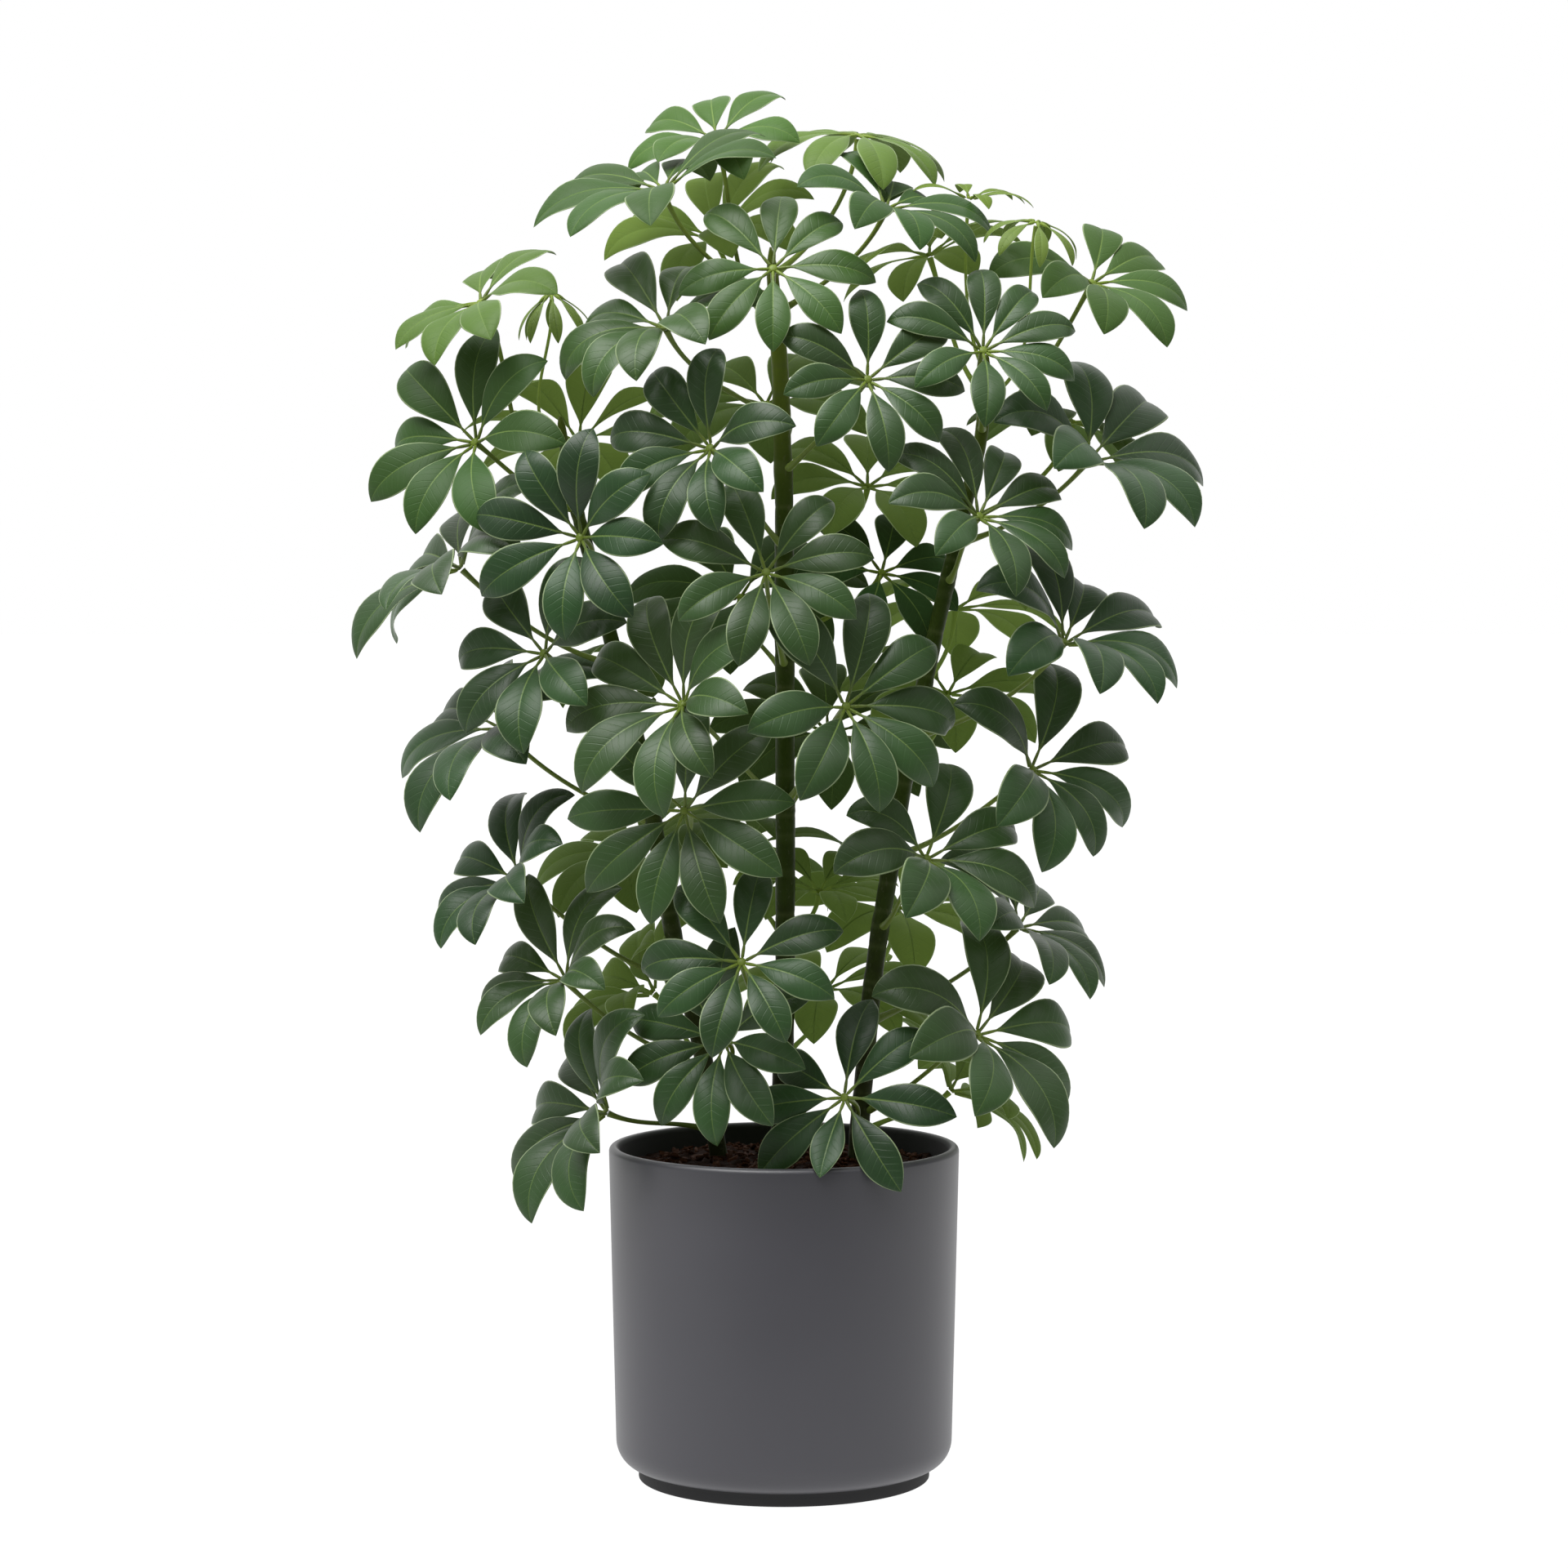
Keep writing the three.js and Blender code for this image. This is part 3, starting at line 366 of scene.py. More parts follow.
class Nodes:
    """The nodes of a material or of the world's light."""

    def __init__(self, tree):
        self.tree = tree

    def feed(self, socket, value):
        """Links a signal to a socket, or sets the socket to a plain value."""
        if isinstance(value, Signal):
            self.tree.links.new(value.socket, socket)
        else:
            socket.default_value = value

    def node(self, kind, settings, values, output=0):
        """Adds a node of a kind: its settings first, then the values or signals of its sockets."""
        made = self.tree.nodes.new(kind)
        for name, value in settings.items():
            setattr(made, name, value)
        for socket, value in values.items():
            self.feed(made.inputs[socket], value)
        return Signal(self, made.outputs[output])

    def math(self, operation, first, second):
        return self.node("ShaderNodeMath", {"operation": operation}, {0: first, 1: second})

    def rise(self, low, high, signal):
        """0 below low, 1 above high, smooth between them."""
        settings = {"interpolation_type": "SMOOTHSTEP"}
        return self.node("ShaderNodeMapRange", settings, {"Value": signal, "From Min": low, "From Max": high})

    def part(self, vector, axis):
        """One of the three numbers of a place or a direction, by its letter."""
        return self.node("ShaderNodeSeparateXYZ", {}, {0: vector}, axis)


class Paint(Nodes):
    """A material's nodes, round the one shader that they feed."""

    def __init__(self, name, **constants):
        self.material = bpy.data.materials.new(name)
        self.material.use_nodes = True
        super().__init__(self.material.node_tree)
        self.shader = self.tree.nodes["Principled BSDF"]
        self.finish(constants)

    def finish(self, values):
        """Sets or links sockets of the shader, by name."""
        for socket, value in values.items():
            self.feed(self.shader.inputs[socket], value)

    def look(self, name):
        """The number that the mesh holds under a name."""
        return self.node("ShaderNodeAttribute", {"attribute_name": name}, {}, "Fac")

    def place(self):
        return self.node("ShaderNodeTexCoord", {}, {}, "Object")

    def noise(self, scale, detail=2.0, place=None):
        """Cloudy noise from 0 to 1, with so many clouds a metre."""
        values = {"Vector": place or self.place(), "Scale": scale, "Detail": detail}
        return self.node("ShaderNodeTexNoise", {}, values, "Fac")

    def stretched(self, x, y, z):
        """The place, with each axis scaled."""
        return self.node("ShaderNodeVectorMath", {"operation": "MULTIPLY"}, {0: self.place(), 1: (x, y, z)})

    def length(self, vector):
        return self.node("ShaderNodeVectorMath", {"operation": "LENGTH"}, {0: vector}, "Value")

    def sine(self, signal):
        return self.math("SINE", signal, 0.0)

    def blend(self, first, second, share):
        """A colour between two colours."""
        values = {0: share, 6: self.colour(first), 7: self.colour(second)}
        return self.node("ShaderNodeMix", {"data_type": "RGBA", "clamp_factor": True}, values, 2)

    def colour(self, value):
        return value if isinstance(value, Signal) else (*value, 1.0)

    def bump(self, height, distance, strength):
        values = {"Height": height, "Distance": distance, "Strength": strength}
        return self.node("ShaderNodeBump", {}, values, "Normal")


DEEP_GREEN = (0.006, 0.027, 0.010)
FRESH_GREEN = (0.018, 0.065, 0.019)
BRIGHT_GREEN = (0.075, 0.170, 0.022)
# Yellow olive: painted light shining through leaves lit from behind, and the young leaves' own colour
PAINTED_BACKLIGHT_AND_YOUNG_OLIVE = (0.108, 0.160, 0.026)
# Faint green glow: painted light shining through leaves lit from behind
PAINTED_BACKLIGHT_GLOW = (0.042, 0.066, 0.013)
VEIN_GREEN = (0.060, 0.130, 0.040)
RIB_GREEN = (0.170, 0.260, 0.060)
UNDER_GREEN = (0.055, 0.105, 0.028)
PALE_EDGE = (0.300, 0.380, 0.200)
STALK_GREEN = (0.170, 0.240, 0.030)
STALK_SHADE = (0.080, 0.112, 0.022)


def leaf_paint(name, ior, roughness):
    """Glossy upper faces from deep to fresh green, darker where the tone holds painted shade, lighter matt
    undersides, a light midrib, faint side veins, a pale margin and yellow-green stalks. By its backlight
    share a leaf goes towards yellow olive and glows faintly green. This is painted light shining through it
    from behind, and on young leaves it is also their own yellow olive."""
    paint = Paint(name, **{"IOR": ior, "Emission Strength": 1.0})
    along, run, reach, edge = (paint.look(name) for name in ("along", "run", "reach", "edge"))
    stalky, under, tone, glow = (paint.look(name) for name in ("stalky", "under", "tone", "glow"))
    fresh = paint.look("fresh")
    clouds = paint.noise(38.0)
    grain = paint.noise(900.0, 3.0)

    upper = paint.blend(DEEP_GREEN, FRESH_GREEN, tone + (clouds - 0.5) * 0.8 + 0.35)
    upper = paint.blend(upper, BRIGHT_GREEN, fresh)
    # Painted backlight: towards yellow olive by the backlight share
    upper = paint.blend(upper, PAINTED_BACKLIGHT_AND_YOUNG_OLIVE, glow)
    waves = paint.sine((run * 0.16 - reach * 0.11) * (2 * math.pi) + clouds * 5.0)
    side_veins = paint.rise(0.82, 1.0, waves) * (1 - edge ** 3)
    upper = paint.blend(upper, VEIN_GREEN, side_veins * 0.12)
    # The undersides also go towards yellow olive: painted backlight
    lower = paint.blend(UNDER_GREEN, PAINTED_BACKLIGHT_AND_YOUNG_OLIVE, glow)
    face = paint.blend(upper, lower, under * 0.85)
    rib = (1 - paint.rise(0.3, 1.0, reach + along * 0.5)) * (1 - stalky)
    face = paint.blend(face, RIB_GREEN, rib * (0.9 - along * 0.5))
    face = paint.blend(face, PALE_EDGE, paint.rise(0.92, 0.97, edge) * 0.75)
    stalk = paint.blend(STALK_SHADE, STALK_GREEN, clouds * 0.6 + tone + 0.35)
    paint.finish({
        "Base Color": paint.blend(face, stalk, stalky),
        "Roughness": clouds * 0.16 + under * 0.15 + roughness,
        # A faint glow: painted light shining through the leaf from behind
        "Emission Color": paint.blend((0.0, 0.0, 0.0), PAINTED_BACKLIGHT_GLOW, glow * (1 - rib)),
        "Normal": paint.bump(grain * 0.2 - side_veins * 0.35 + clouds * 0.8, 0.0006, 0.5),
    })
    return paint.material


def stem_paint():
    """Green young wood above, browner bark below, with painted highlights in clouds of lighter green, ring
    scars and pale specks.
    """
    paint = Paint("stem", **{"IOR": 1.22})
    height = paint.part(paint.place(), "Z")
    clouds = paint.noise(60.0, 4.0)
    rings = paint.look("ring")
    specks = paint.rise(0.66, 0.72, paint.noise(420.0, 1.0, paint.stretched(1.0, 1.0, 0.5)))
    age = paint.rise(0.26, 0.50, height + (clouds - 0.5) * 0.16)
    skin = paint.blend((0.026, 0.028, 0.009), (0.028, 0.049, 0.004), age)
    # Clouds of lighter green: painted highlights
    skin = paint.blend(skin, (0.070, 0.105, 0.020), (clouds - 0.4) * 0.7)
    skin = paint.blend(skin, (0.120, 0.165, 0.020), paint.rise(0.70, 0.86, height))
    skin = paint.blend(skin, (0.100, 0.125, 0.040), rings * 0.4)
    skin = paint.blend(skin, (0.110, 0.115, 0.060), specks * 0.3)
    paint.finish({
        "Base Color": skin,
        "Roughness": 0.55 - age * 0.12,
        "Normal": paint.bump(paint.noise(500.0, 4.0) + specks * 0.4, 0.0005, 0.5),
    })
    return paint.material


def pot_paint():
    """Satin dark grey glaze with a faint cloud and grain, with painted shade: darker towards the rim under
    the leaves, and near black at the foot and inside.
    """
    paint = Paint("glaze", **{"IOR": 1.62})
    height = paint.part(paint.place(), "Z")
    clouds = paint.noise(9.0, 3.0)
    grain = paint.noise(1400.0, 2.0)
    glaze = paint.blend((0.040, 0.039, 0.048), (0.053, 0.052, 0.063), clouds)
    # Painted shadow of the leaves: darker just below the rim
    glaze = paint.blend(glaze, (0.030, 0.030, 0.034), paint.rise(0.19, 0.25, height) * 0.5)
    # Painted shade: the foot, tucked under the pot's bulge, near black
    foot = 1 - paint.rise(0.009, 0.013, height)
    glaze = paint.blend(glaze, (0.007, 0.007, 0.008), foot)
    # Painted shade: the inside wall above the soil near black
    outside = paint.rise(0.1245, 0.1275, paint.length(paint.stretched(1.0, 1.0, 0.0)))
    inside = paint.rise(0.12, 0.16, height) * (1 - outside)
    glaze = paint.blend(glaze, (0.008, 0.008, 0.009), inside)
    paint.finish({
        "Base Color": glaze,
        "Roughness": clouds * 0.08 + grain * 0.05 + (foot + inside) * 0.4 + 0.34,
        "Normal": paint.bump(grain + paint.noise(300.0) * 0.5, 0.00012, 0.35),
    })
    return paint.material


def soil_paint():
    """Damp red-brown bark and peat, each chip of its own tone."""
    paint = Paint("bark_soil", **{"IOR": 1.2})
    tone = paint.look("tone")
    crumbs = paint.noise(650.0, 5.0)
    earth = paint.blend((0.008, 0.004, 0.003), (0.046, 0.016, 0.008), crumbs * 1.6 - 0.4)
    earth = paint.blend(earth, (0.110, 0.040, 0.019), tone * 0.75)
    paint.finish({
        "Base Color": earth,
        "Roughness": 0.95 - tone * 0.2,
        "Normal": paint.bump(crumbs, 0.0015, 0.8),
    })
    return paint.material


# Tubes

def frames_along(line):
    """Two directions across a line at each of its places, which turn as little as possible along it."""
    heading = unit(np.gradient(line, axis=0))
    start = np.eye(3)[np.argmin(np.abs(heading[0]))]
    across = [unit(np.cross(heading[0], start))]
    for ahead in heading[1:]:
        across.append(unit(across[-1] - (across[-1] @ ahead) * ahead))
    across = np.array(across)
    return across, np.cross(heading, across)


def round_rings(line, radii, sides):
    """Circles of the given radii round a line, as rings of points.

    A point is the line's place plus the radius times (across times cosine plus beyond times sine).
    """
    across, beyond = frames_along(line)
    turn = 2 * np.pi * np.arange(sides) / sides
    spokes = np.cos(turn)[None, :, None] * across[:, None] + np.sin(turn)[None, :, None] * beyond[:, None]
    return line[:, None] + np.reshape(radii, (len(line), -1, 1)) * spokes


def turned(profile, sides):
    """A profile of radius and height turned about the upright axis, a ring for each of its places."""
    turn = 2 * np.pi * np.arange(sides) / sides
    radius, height = profile[:, :1], profile[:, 1:]
    return np.stack([radius * np.cos(turn), radius * np.sin(turn), height + 0 * turn], -1)


def arc(centre, radii, start, end, count):
    """Points on an ellipse, from one angle to another in degrees."""
    angle = np.radians(np.linspace(start, end, count))
    return np.stack([centre[0] + radii[0] * np.cos(angle), centre[1] + radii[1] * np.sin(angle)], -1)


def lined(start, end, count):
    """Even points between two places, without the last."""
    return np.linspace(start, end, count, endpoint=False)


# Pot and soil

def pot_inside_radius(height):
    """The radius of the pot's hollow, from its floor to its rim."""
    return np.interp(height, [FLOOR_HEIGHT, POT_HEIGHT - RIM_ROUND], [FLOOR_RADIUS, RIM_INSIDE])


def build_pot(paint):
    """The pot's profile, turned: from the middle of its foot up its side, over the rim, down to its floor."""
    round_width = BODY_FOOT_RADIUS - FOOT_RADIUS
    round_top = FOOT_HEIGHT + BOTTOM_ROUND_HEIGHT
    rim_height = POT_HEIGHT - RIM_ROUND
    profile = np.vstack([
        lined((20, 0), (FOOT_RADIUS - FOOT_ROUND, 0), 4),
        arc((FOOT_RADIUS - FOOT_ROUND, FOOT_ROUND), (FOOT_ROUND, FOOT_ROUND), -90, 0, 5),
        lined((FOOT_RADIUS, 2 * FOOT_ROUND), (FOOT_RADIUS, FOOT_HEIGHT - NECK_ROUND), 3),
        arc((FOOT_RADIUS + NECK_ROUND, FOOT_HEIGHT - NECK_ROUND), (NECK_ROUND, NECK_ROUND), 180, 90, 4),
        arc((FOOT_RADIUS, round_top), (round_width, BOTTOM_ROUND_HEIGHT), -86, 0, 16),
        lined((BODY_FOOT_RADIUS, round_top), (RIM_RADIUS, rim_height), 24)[1:],
        arc((RIM_RADIUS - RIM_ROUND, rim_height), (RIM_ROUND, RIM_ROUND), 0, 180, 17),
        lined((RIM_INSIDE, rim_height), (FLOOR_RADIUS, FLOOR_HEIGHT + FLOOR_ROUND), 16)[1:],
        arc((FLOOR_RADIUS - FLOOR_ROUND, FLOOR_HEIGHT + FLOOR_ROUND), (FLOOR_ROUND, FLOOR_ROUND), 0, -90, 5),
        lined((FLOOR_RADIUS - 5, FLOOR_HEIGHT), (10, FLOOR_HEIGHT), 4),
    ])
    body = Body()
    body.tube(turned(profile, POT_SIDES), np.zeros(3), UP * FLOOR_HEIGHT)
    body.piece("pot_glazed", paint, "pot", "pot")


def soil_height(radius, turn):
    """The soil's dome, lower towards the pot, roughened by waves that run in random directions."""
    x, y = radius * np.cos(turn), radius * np.sin(turn)
    dome = np.interp(radius, [0, RIM_INSIDE * 0.35, RIM_INSIDE * 0.7, RIM_INSIDE], [
        SOIL_MOUND, SOIL_MOUND - 1, SOIL_EDGE + 3, SOIL_EDGE])
    waves = np.random.default_rng(11)
    rough = np.zeros(np.broadcast(x, y).shape)
    for wave_length in np.geomspace(5, 40, 18):
        heading, phase = waves.uniform(0, 2 * np.pi, 2)
        along = x * np.cos(heading) + y * np.sin(heading)
        rough += np.sin(along * 2 * np.pi / wave_length + phase) * wave_length ** 0.5 * SOIL_ROUGHNESS
    return dome + rough - SOIL_SUNK


def build_soil(paint):
    """Soil that fills the pot: a polar grid at the soil's height on top, and a side along the pot's wall,
    drawn in at the bottom, where the pot has a rounded corner."""
    turn = 2 * np.pi * np.arange(SOIL_SIDES) / SOIL_SIDES
    low = FLOOR_HEIGHT + SOIL_GAP
    side_heights = np.concatenate([[low], np.linspace(low + FLOOR_ROUND, SOIL_EDGE - 4, 6)])
    side_radii = pot_inside_radius(side_heights) - SOIL_GAP
    side_radii[0] -= FLOOR_ROUND
    side = turned(np.stack([side_radii, side_heights], -1), SOIL_SIDES)
    radius = np.linspace(pot_inside_radius(SOIL_EDGE) - SOIL_GAP, 3, SOIL_RINGS)[:, None]
    top = np.stack([radius * np.cos(turn), radius * np.sin(turn), soil_height(radius, turn)], -1)
    middle = np.array([0, 0, soil_height(np.zeros(1), np.zeros(1))[0]])
    body = Body("tone")
    body.tube(np.concatenate([side, top]), UP * low, middle)
    add_chips(body)
    body.piece("soil_bark", paint, "soil", "soil")


def add_chips(body):
    """Bark chips: eight-sided slabs with uneven corners, each scaled, turned and laid on the soil."""
    ring = 2 * np.pi * np.arange(CHIP_CORNERS) / CHIP_CORNERS
    reach = 1 + RANDOM.uniform(-0.3, 0.3, (CHIPS, CHIP_CORNERS))
    outline = np.stack([np.cos(ring) * reach, np.sin(ring) * reach], -1)
    slab = np.concatenate([
        np.concatenate([outline, np.full((CHIPS, CHIP_CORNERS, 1), -1.0)], -1),
        np.concatenate([outline * 0.8, RANDOM.uniform(0.6, 1.2, (CHIPS, CHIP_CORNERS, 1))], -1),
    ], 1)
    size = RANDOM.uniform(SMALLEST_CHIP, LARGEST_CHIP, (CHIPS, 3))
    slab = slab * size[:, None]
    tilt = RANDOM.normal(0, 0.3, (CHIPS, 2))
    slab[..., 2] += slab[..., 0] * tilt[:, :1] + slab[..., 1] * tilt[:, 1:]
    spin = RANDOM.uniform(0, 2 * np.pi, (CHIPS, 1))
    x = slab[..., 0] * np.cos(spin) - slab[..., 1] * np.sin(spin)
    y = slab[..., 0] * np.sin(spin) + slab[..., 1] * np.cos(spin)
    radius = np.sqrt(RANDOM.uniform(0, 1, (CHIPS, 1))) * (RIM_INSIDE - 12)
    turn = RANDOM.uniform(0, 2 * np.pi, (CHIPS, 1))
    slab[..., 0] = x + radius * np.cos(turn)
    slab[..., 1] = y + radius * np.sin(turn)
    slab[..., 2] += soil_height(radius, turn) + 0.6
    near = np.arange(CHIP_CORNERS)
    after = np.roll(near, -1)
    walls = np.stack([near, after, after + CHIP_CORNERS, near + CHIP_CORNERS], -1)
    bottoms = np.stack([near[1:-1] * 0, near[2:], near[1:-1]], -1)
    tops = bottoms[:, [0, 2, 1]] + CHIP_CORNERS
    start = (np.arange(CHIPS) * 2 * CHIP_CORNERS)[:, None, None]
    tone = np.repeat(RANDOM.uniform(0.1, 1, CHIPS), 2 * CHIP_CORNERS)
    parts = [(start + part).reshape(-1, part.shape[1]) for part in (walls, tops, bottoms)]
    body.add(slab.reshape(-1, 3), parts, tone=tone)


# Stems

class Stem:
    """A stem's line, smoothed, with its radius at each height."""

    def __init__(self, name):
        self.name = name
        knots = np.array(STEMS[name], float)
        self.heights = np.arange(knots[0, 2], knots[-1, 2] + STEM_STEP / 2, STEM_STEP)
        self.heights[-1] = knots[-1, 2]
        columns = [np.interp(self.heights, knots[:, 2], knots[:, k]) for k in (0, 1, 3)]
        window = np.ones(SMOOTHED) / SMOOTHED
        smooth = [
            np.convolve(np.pad(column, SMOOTHED // 2, "reflect", reflect_type="odd"), window, "valid")
            for column in columns
        ]
        self.line = np.stack([smooth[0], smooth[1], self.heights], -1)
        self.radii = smooth[2]
        self.knots = knots
        self.feet = []

    def at(self, height):
        """The middle, radius and heading at a height, on the straight stretches between the given places."""
        k = int(np.clip(np.searchsorted(self.knots[:, 2], height), 1, len(self.knots) - 1))
        low, high = self.knots[k - 1], self.knots[k]
        share = (height - low[2]) / (high[2] - low[2])
        middle = low + (high - low) * share
        return middle[:3], middle[3], unit(high[:3] - low[:3])

    def build(self, paint):
        """A tube, swollen at each leaf stalk's foot, with a thin groove at each old leaf's ring scar."""
        heights = self.heights[:, None]
        scars = np.cumsum(RANDOM.uniform(*SCAR_STEPS, SCARS)) + self.heights[0]
        to_scar = np.abs(heights - np.concatenate([scars, self.feet])).min(1)
        to_foot = np.abs(heights - np.array(self.feet)).min(1)
        groove = np.exp(-(to_scar / SCAR_WIDTH) ** 2)
        swelling = np.exp(-(to_foot / SWELLING_WIDTH) ** 2)
        turn = 2 * np.pi * np.arange(STEM_SIDES) / STEM_SIDES
        uneven = 0.15 * np.sin(3 * turn + heights / 19) + 0.1 * np.sin(heights / 7)
        radii = (self.radii - SCAR_DEPTH * groove + SWELLING * swelling)[:, None] + uneven
        radii[-3:] *= np.array([0.9, 0.7, 0.35])[:, None]
        rings = round_rings(self.line, radii, STEM_SIDES)
        body = Body("ring")
        body.tube(rings, self.line[0], self.line[-1], ring=groove[:, None])
        body.piece(f"bark_{self.name}", paint, "stem", f"stem_{self.name}")


# Leaves

class Leaf:
    """One leaf's place, facing and leaflets, read from its row in the table."""

    def __init__(self, number, stem, knob, facing, length, lean, fall, directions, given_height=None):
        self.number = number
        self.stem = STEM_OF[stem]
        self.hub = np.array(knob, float)
        self.axis = unit(np.array(facing, float))
        self.side = unit(np.cross(UP, self.axis))
        self.top = np.cross(self.axis, self.side)
        self.length = length
        self.lean = lean
        self.fall = fall
        self.angles = np.radians(np.array(directions, float))
        self.young = given_height is not None
        self.height = given_height if self.young else self.stalk_height()
        self.node = f"leaf_{number:02d}"
        slimness = LENGTH_TO_WIDTH + NARROWING * (len(directions) - 7)
        self.slimness = slimness * YOUNG_SLIMNESS if self.young else slimness

    def stalk_height(self):
        """Lower on the stem than the knob by a share of the reach between them, above the soil, and spread
        over the last stretch below the stem's tip."""
        highest = self.stem.knots[-1, 2] - TIP_STRETCH * (0.8 + wobble(self.number, 3))
        height = min(self.hub[2], highest)
        for _ in range(6):
            away = np.linalg.norm((self.hub - self.stem.at(height)[0])[:2])
            height = min(self.hub[2] - PETIOLE_RISE * away, highest)
        return max(height, LOWEST_PETIOLE)

    def paths(self, angles, lengths, droops):
        """Middle lines of leaflets, a row for each angle.

        The heading leans forward at the knob and falls back with the square of the share along, and it sags
        with that square too. The line is the running sum of the headings. Returns places, and the directions
        across and upright: the blade faces the way the whorl does, turned towards the light by a share that
        is smaller in a whorl that faces upwards, and then turned about the heading by the twist.
        """
        spokes = np.cos(angles)[:, None] * self.top + np.sin(angles)[:, None] * self.side
        share = (np.arange(PATH_STEPS) + 0.5) / PATH_STEPS
        lean = np.radians(self.lean - droops * DROOP_AT_KNOB)[:, None]
        fall = np.radians(self.fall + droops)[:, None]
        pitch = -lean + (lean + fall) * share ** 2
        heading = np.cos(pitch)[..., None] * spokes[:, None] - np.sin(pitch)[..., None] * self.axis
        heading = unit(heading - UP * (SAG * share ** 2)[:, None])
        start = (self.hub + spokes * PATH_START)[:, None]
        walked = np.cumsum(heading * (lengths / PATH_STEPS)[:, None, None], axis=1)
        places = np.concatenate([start, start + walked], 1)
        ends = unit(np.concatenate([heading[:, :1], heading[:, :-1] + heading[:, 1:], heading[:, -1:]], 1))
        facing = self.axis + LIGHT * LIGHTWARDS * (1 - self.axis[2] ** 2)
        normal = unit(facing - (ends @ facing)[..., None] * ends)
        across = np.cross(ends, normal)
        tilted = across * math.cos(TWIST) + normal * math.sin(TWIST)
        upright = normal * math.cos(TWIST) - across * math.sin(TWIST)
        return places, tilted, upright

    def full_lengths(self, index):
        return self.length * (1 + LENGTH_SPREAD * wobble(index, self.number))

    def chosen_bends(self):
        """For each leaflet that the CAD leaf has, its number and the bend whose tip corner is a corner there.

        Returns rows of number, droop, turn and share of the length.
        """
        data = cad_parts[self.node].data
        corners = np.zeros(len(data.vertices) * 3, np.float32)
        data.vertices.foreach_get("co", corners)
        corners = corners.reshape(-1, 3) / MM
        droops, turns, sizes = BENDS.T
        found = []
        for index, angle in enumerate(self.angles):
            lengths = self.full_lengths(index) * sizes
            places, tilted, upright = self.paths(angle + np.radians(turns), lengths, droops)
            half = CAD_TIP_WIDTH * lengths / self.slimness / 2
            tips = places[:, -1] - tilted[:, -1] * half[:, None] + upright[:, -1] * CAD_THICKNESS / 2
            misses = np.linalg.norm(tips[:, None] - corners[None], axis=-1).min(1)
            if misses.min() < BEND_MATCH:
                found.append((index, *BENDS[misses.argmin()]))
        return np.array(found)


def blade_outline(share):
    """The blade's half width along a leaflet: 0 at the stalklet's end and at the tip, 1 at the widest."""
    share = np.clip(share, 0, 1)
    peak = BASE_TAPER / (BASE_TAPER + TIP_TAPER)
    return (share / peak) ** BASE_TAPER * ((1 - share) / (1 - peak)) ** TIP_TAPER


def blade_relief(leaf, index, along, across):
    """How high the blade lies off its flat middle, in shares of its half width.

    It is a shallow M across the blade, plus a fold that differs from leaflet to leaflet and a wave along the
    blade that grows towards the margin.
    """
    off = np.abs(across)
    ripple = CALM_RIPPLE if leaf.young or leaf.number in CALM_LEAVES else 1.0
    fold = ripple * (FOLD + FOLD_SPREAD * wobble(index, leaf.number + 5)[:, None, None])
    phase = 2 * np.pi * wobble(index, leaf.number + 9)[:, None, None]
    arch = BLADE_ARCH * (1 + ripple) * (off - off ** 2.2)
    swing = np.sin(2 * np.pi * WAVES_ALONG * along[:, None] + phase)
    wave = ripple * WAVE_HEIGHT * swing * off ** 2 * np.sign(across)
    return arch + fold * off + wave


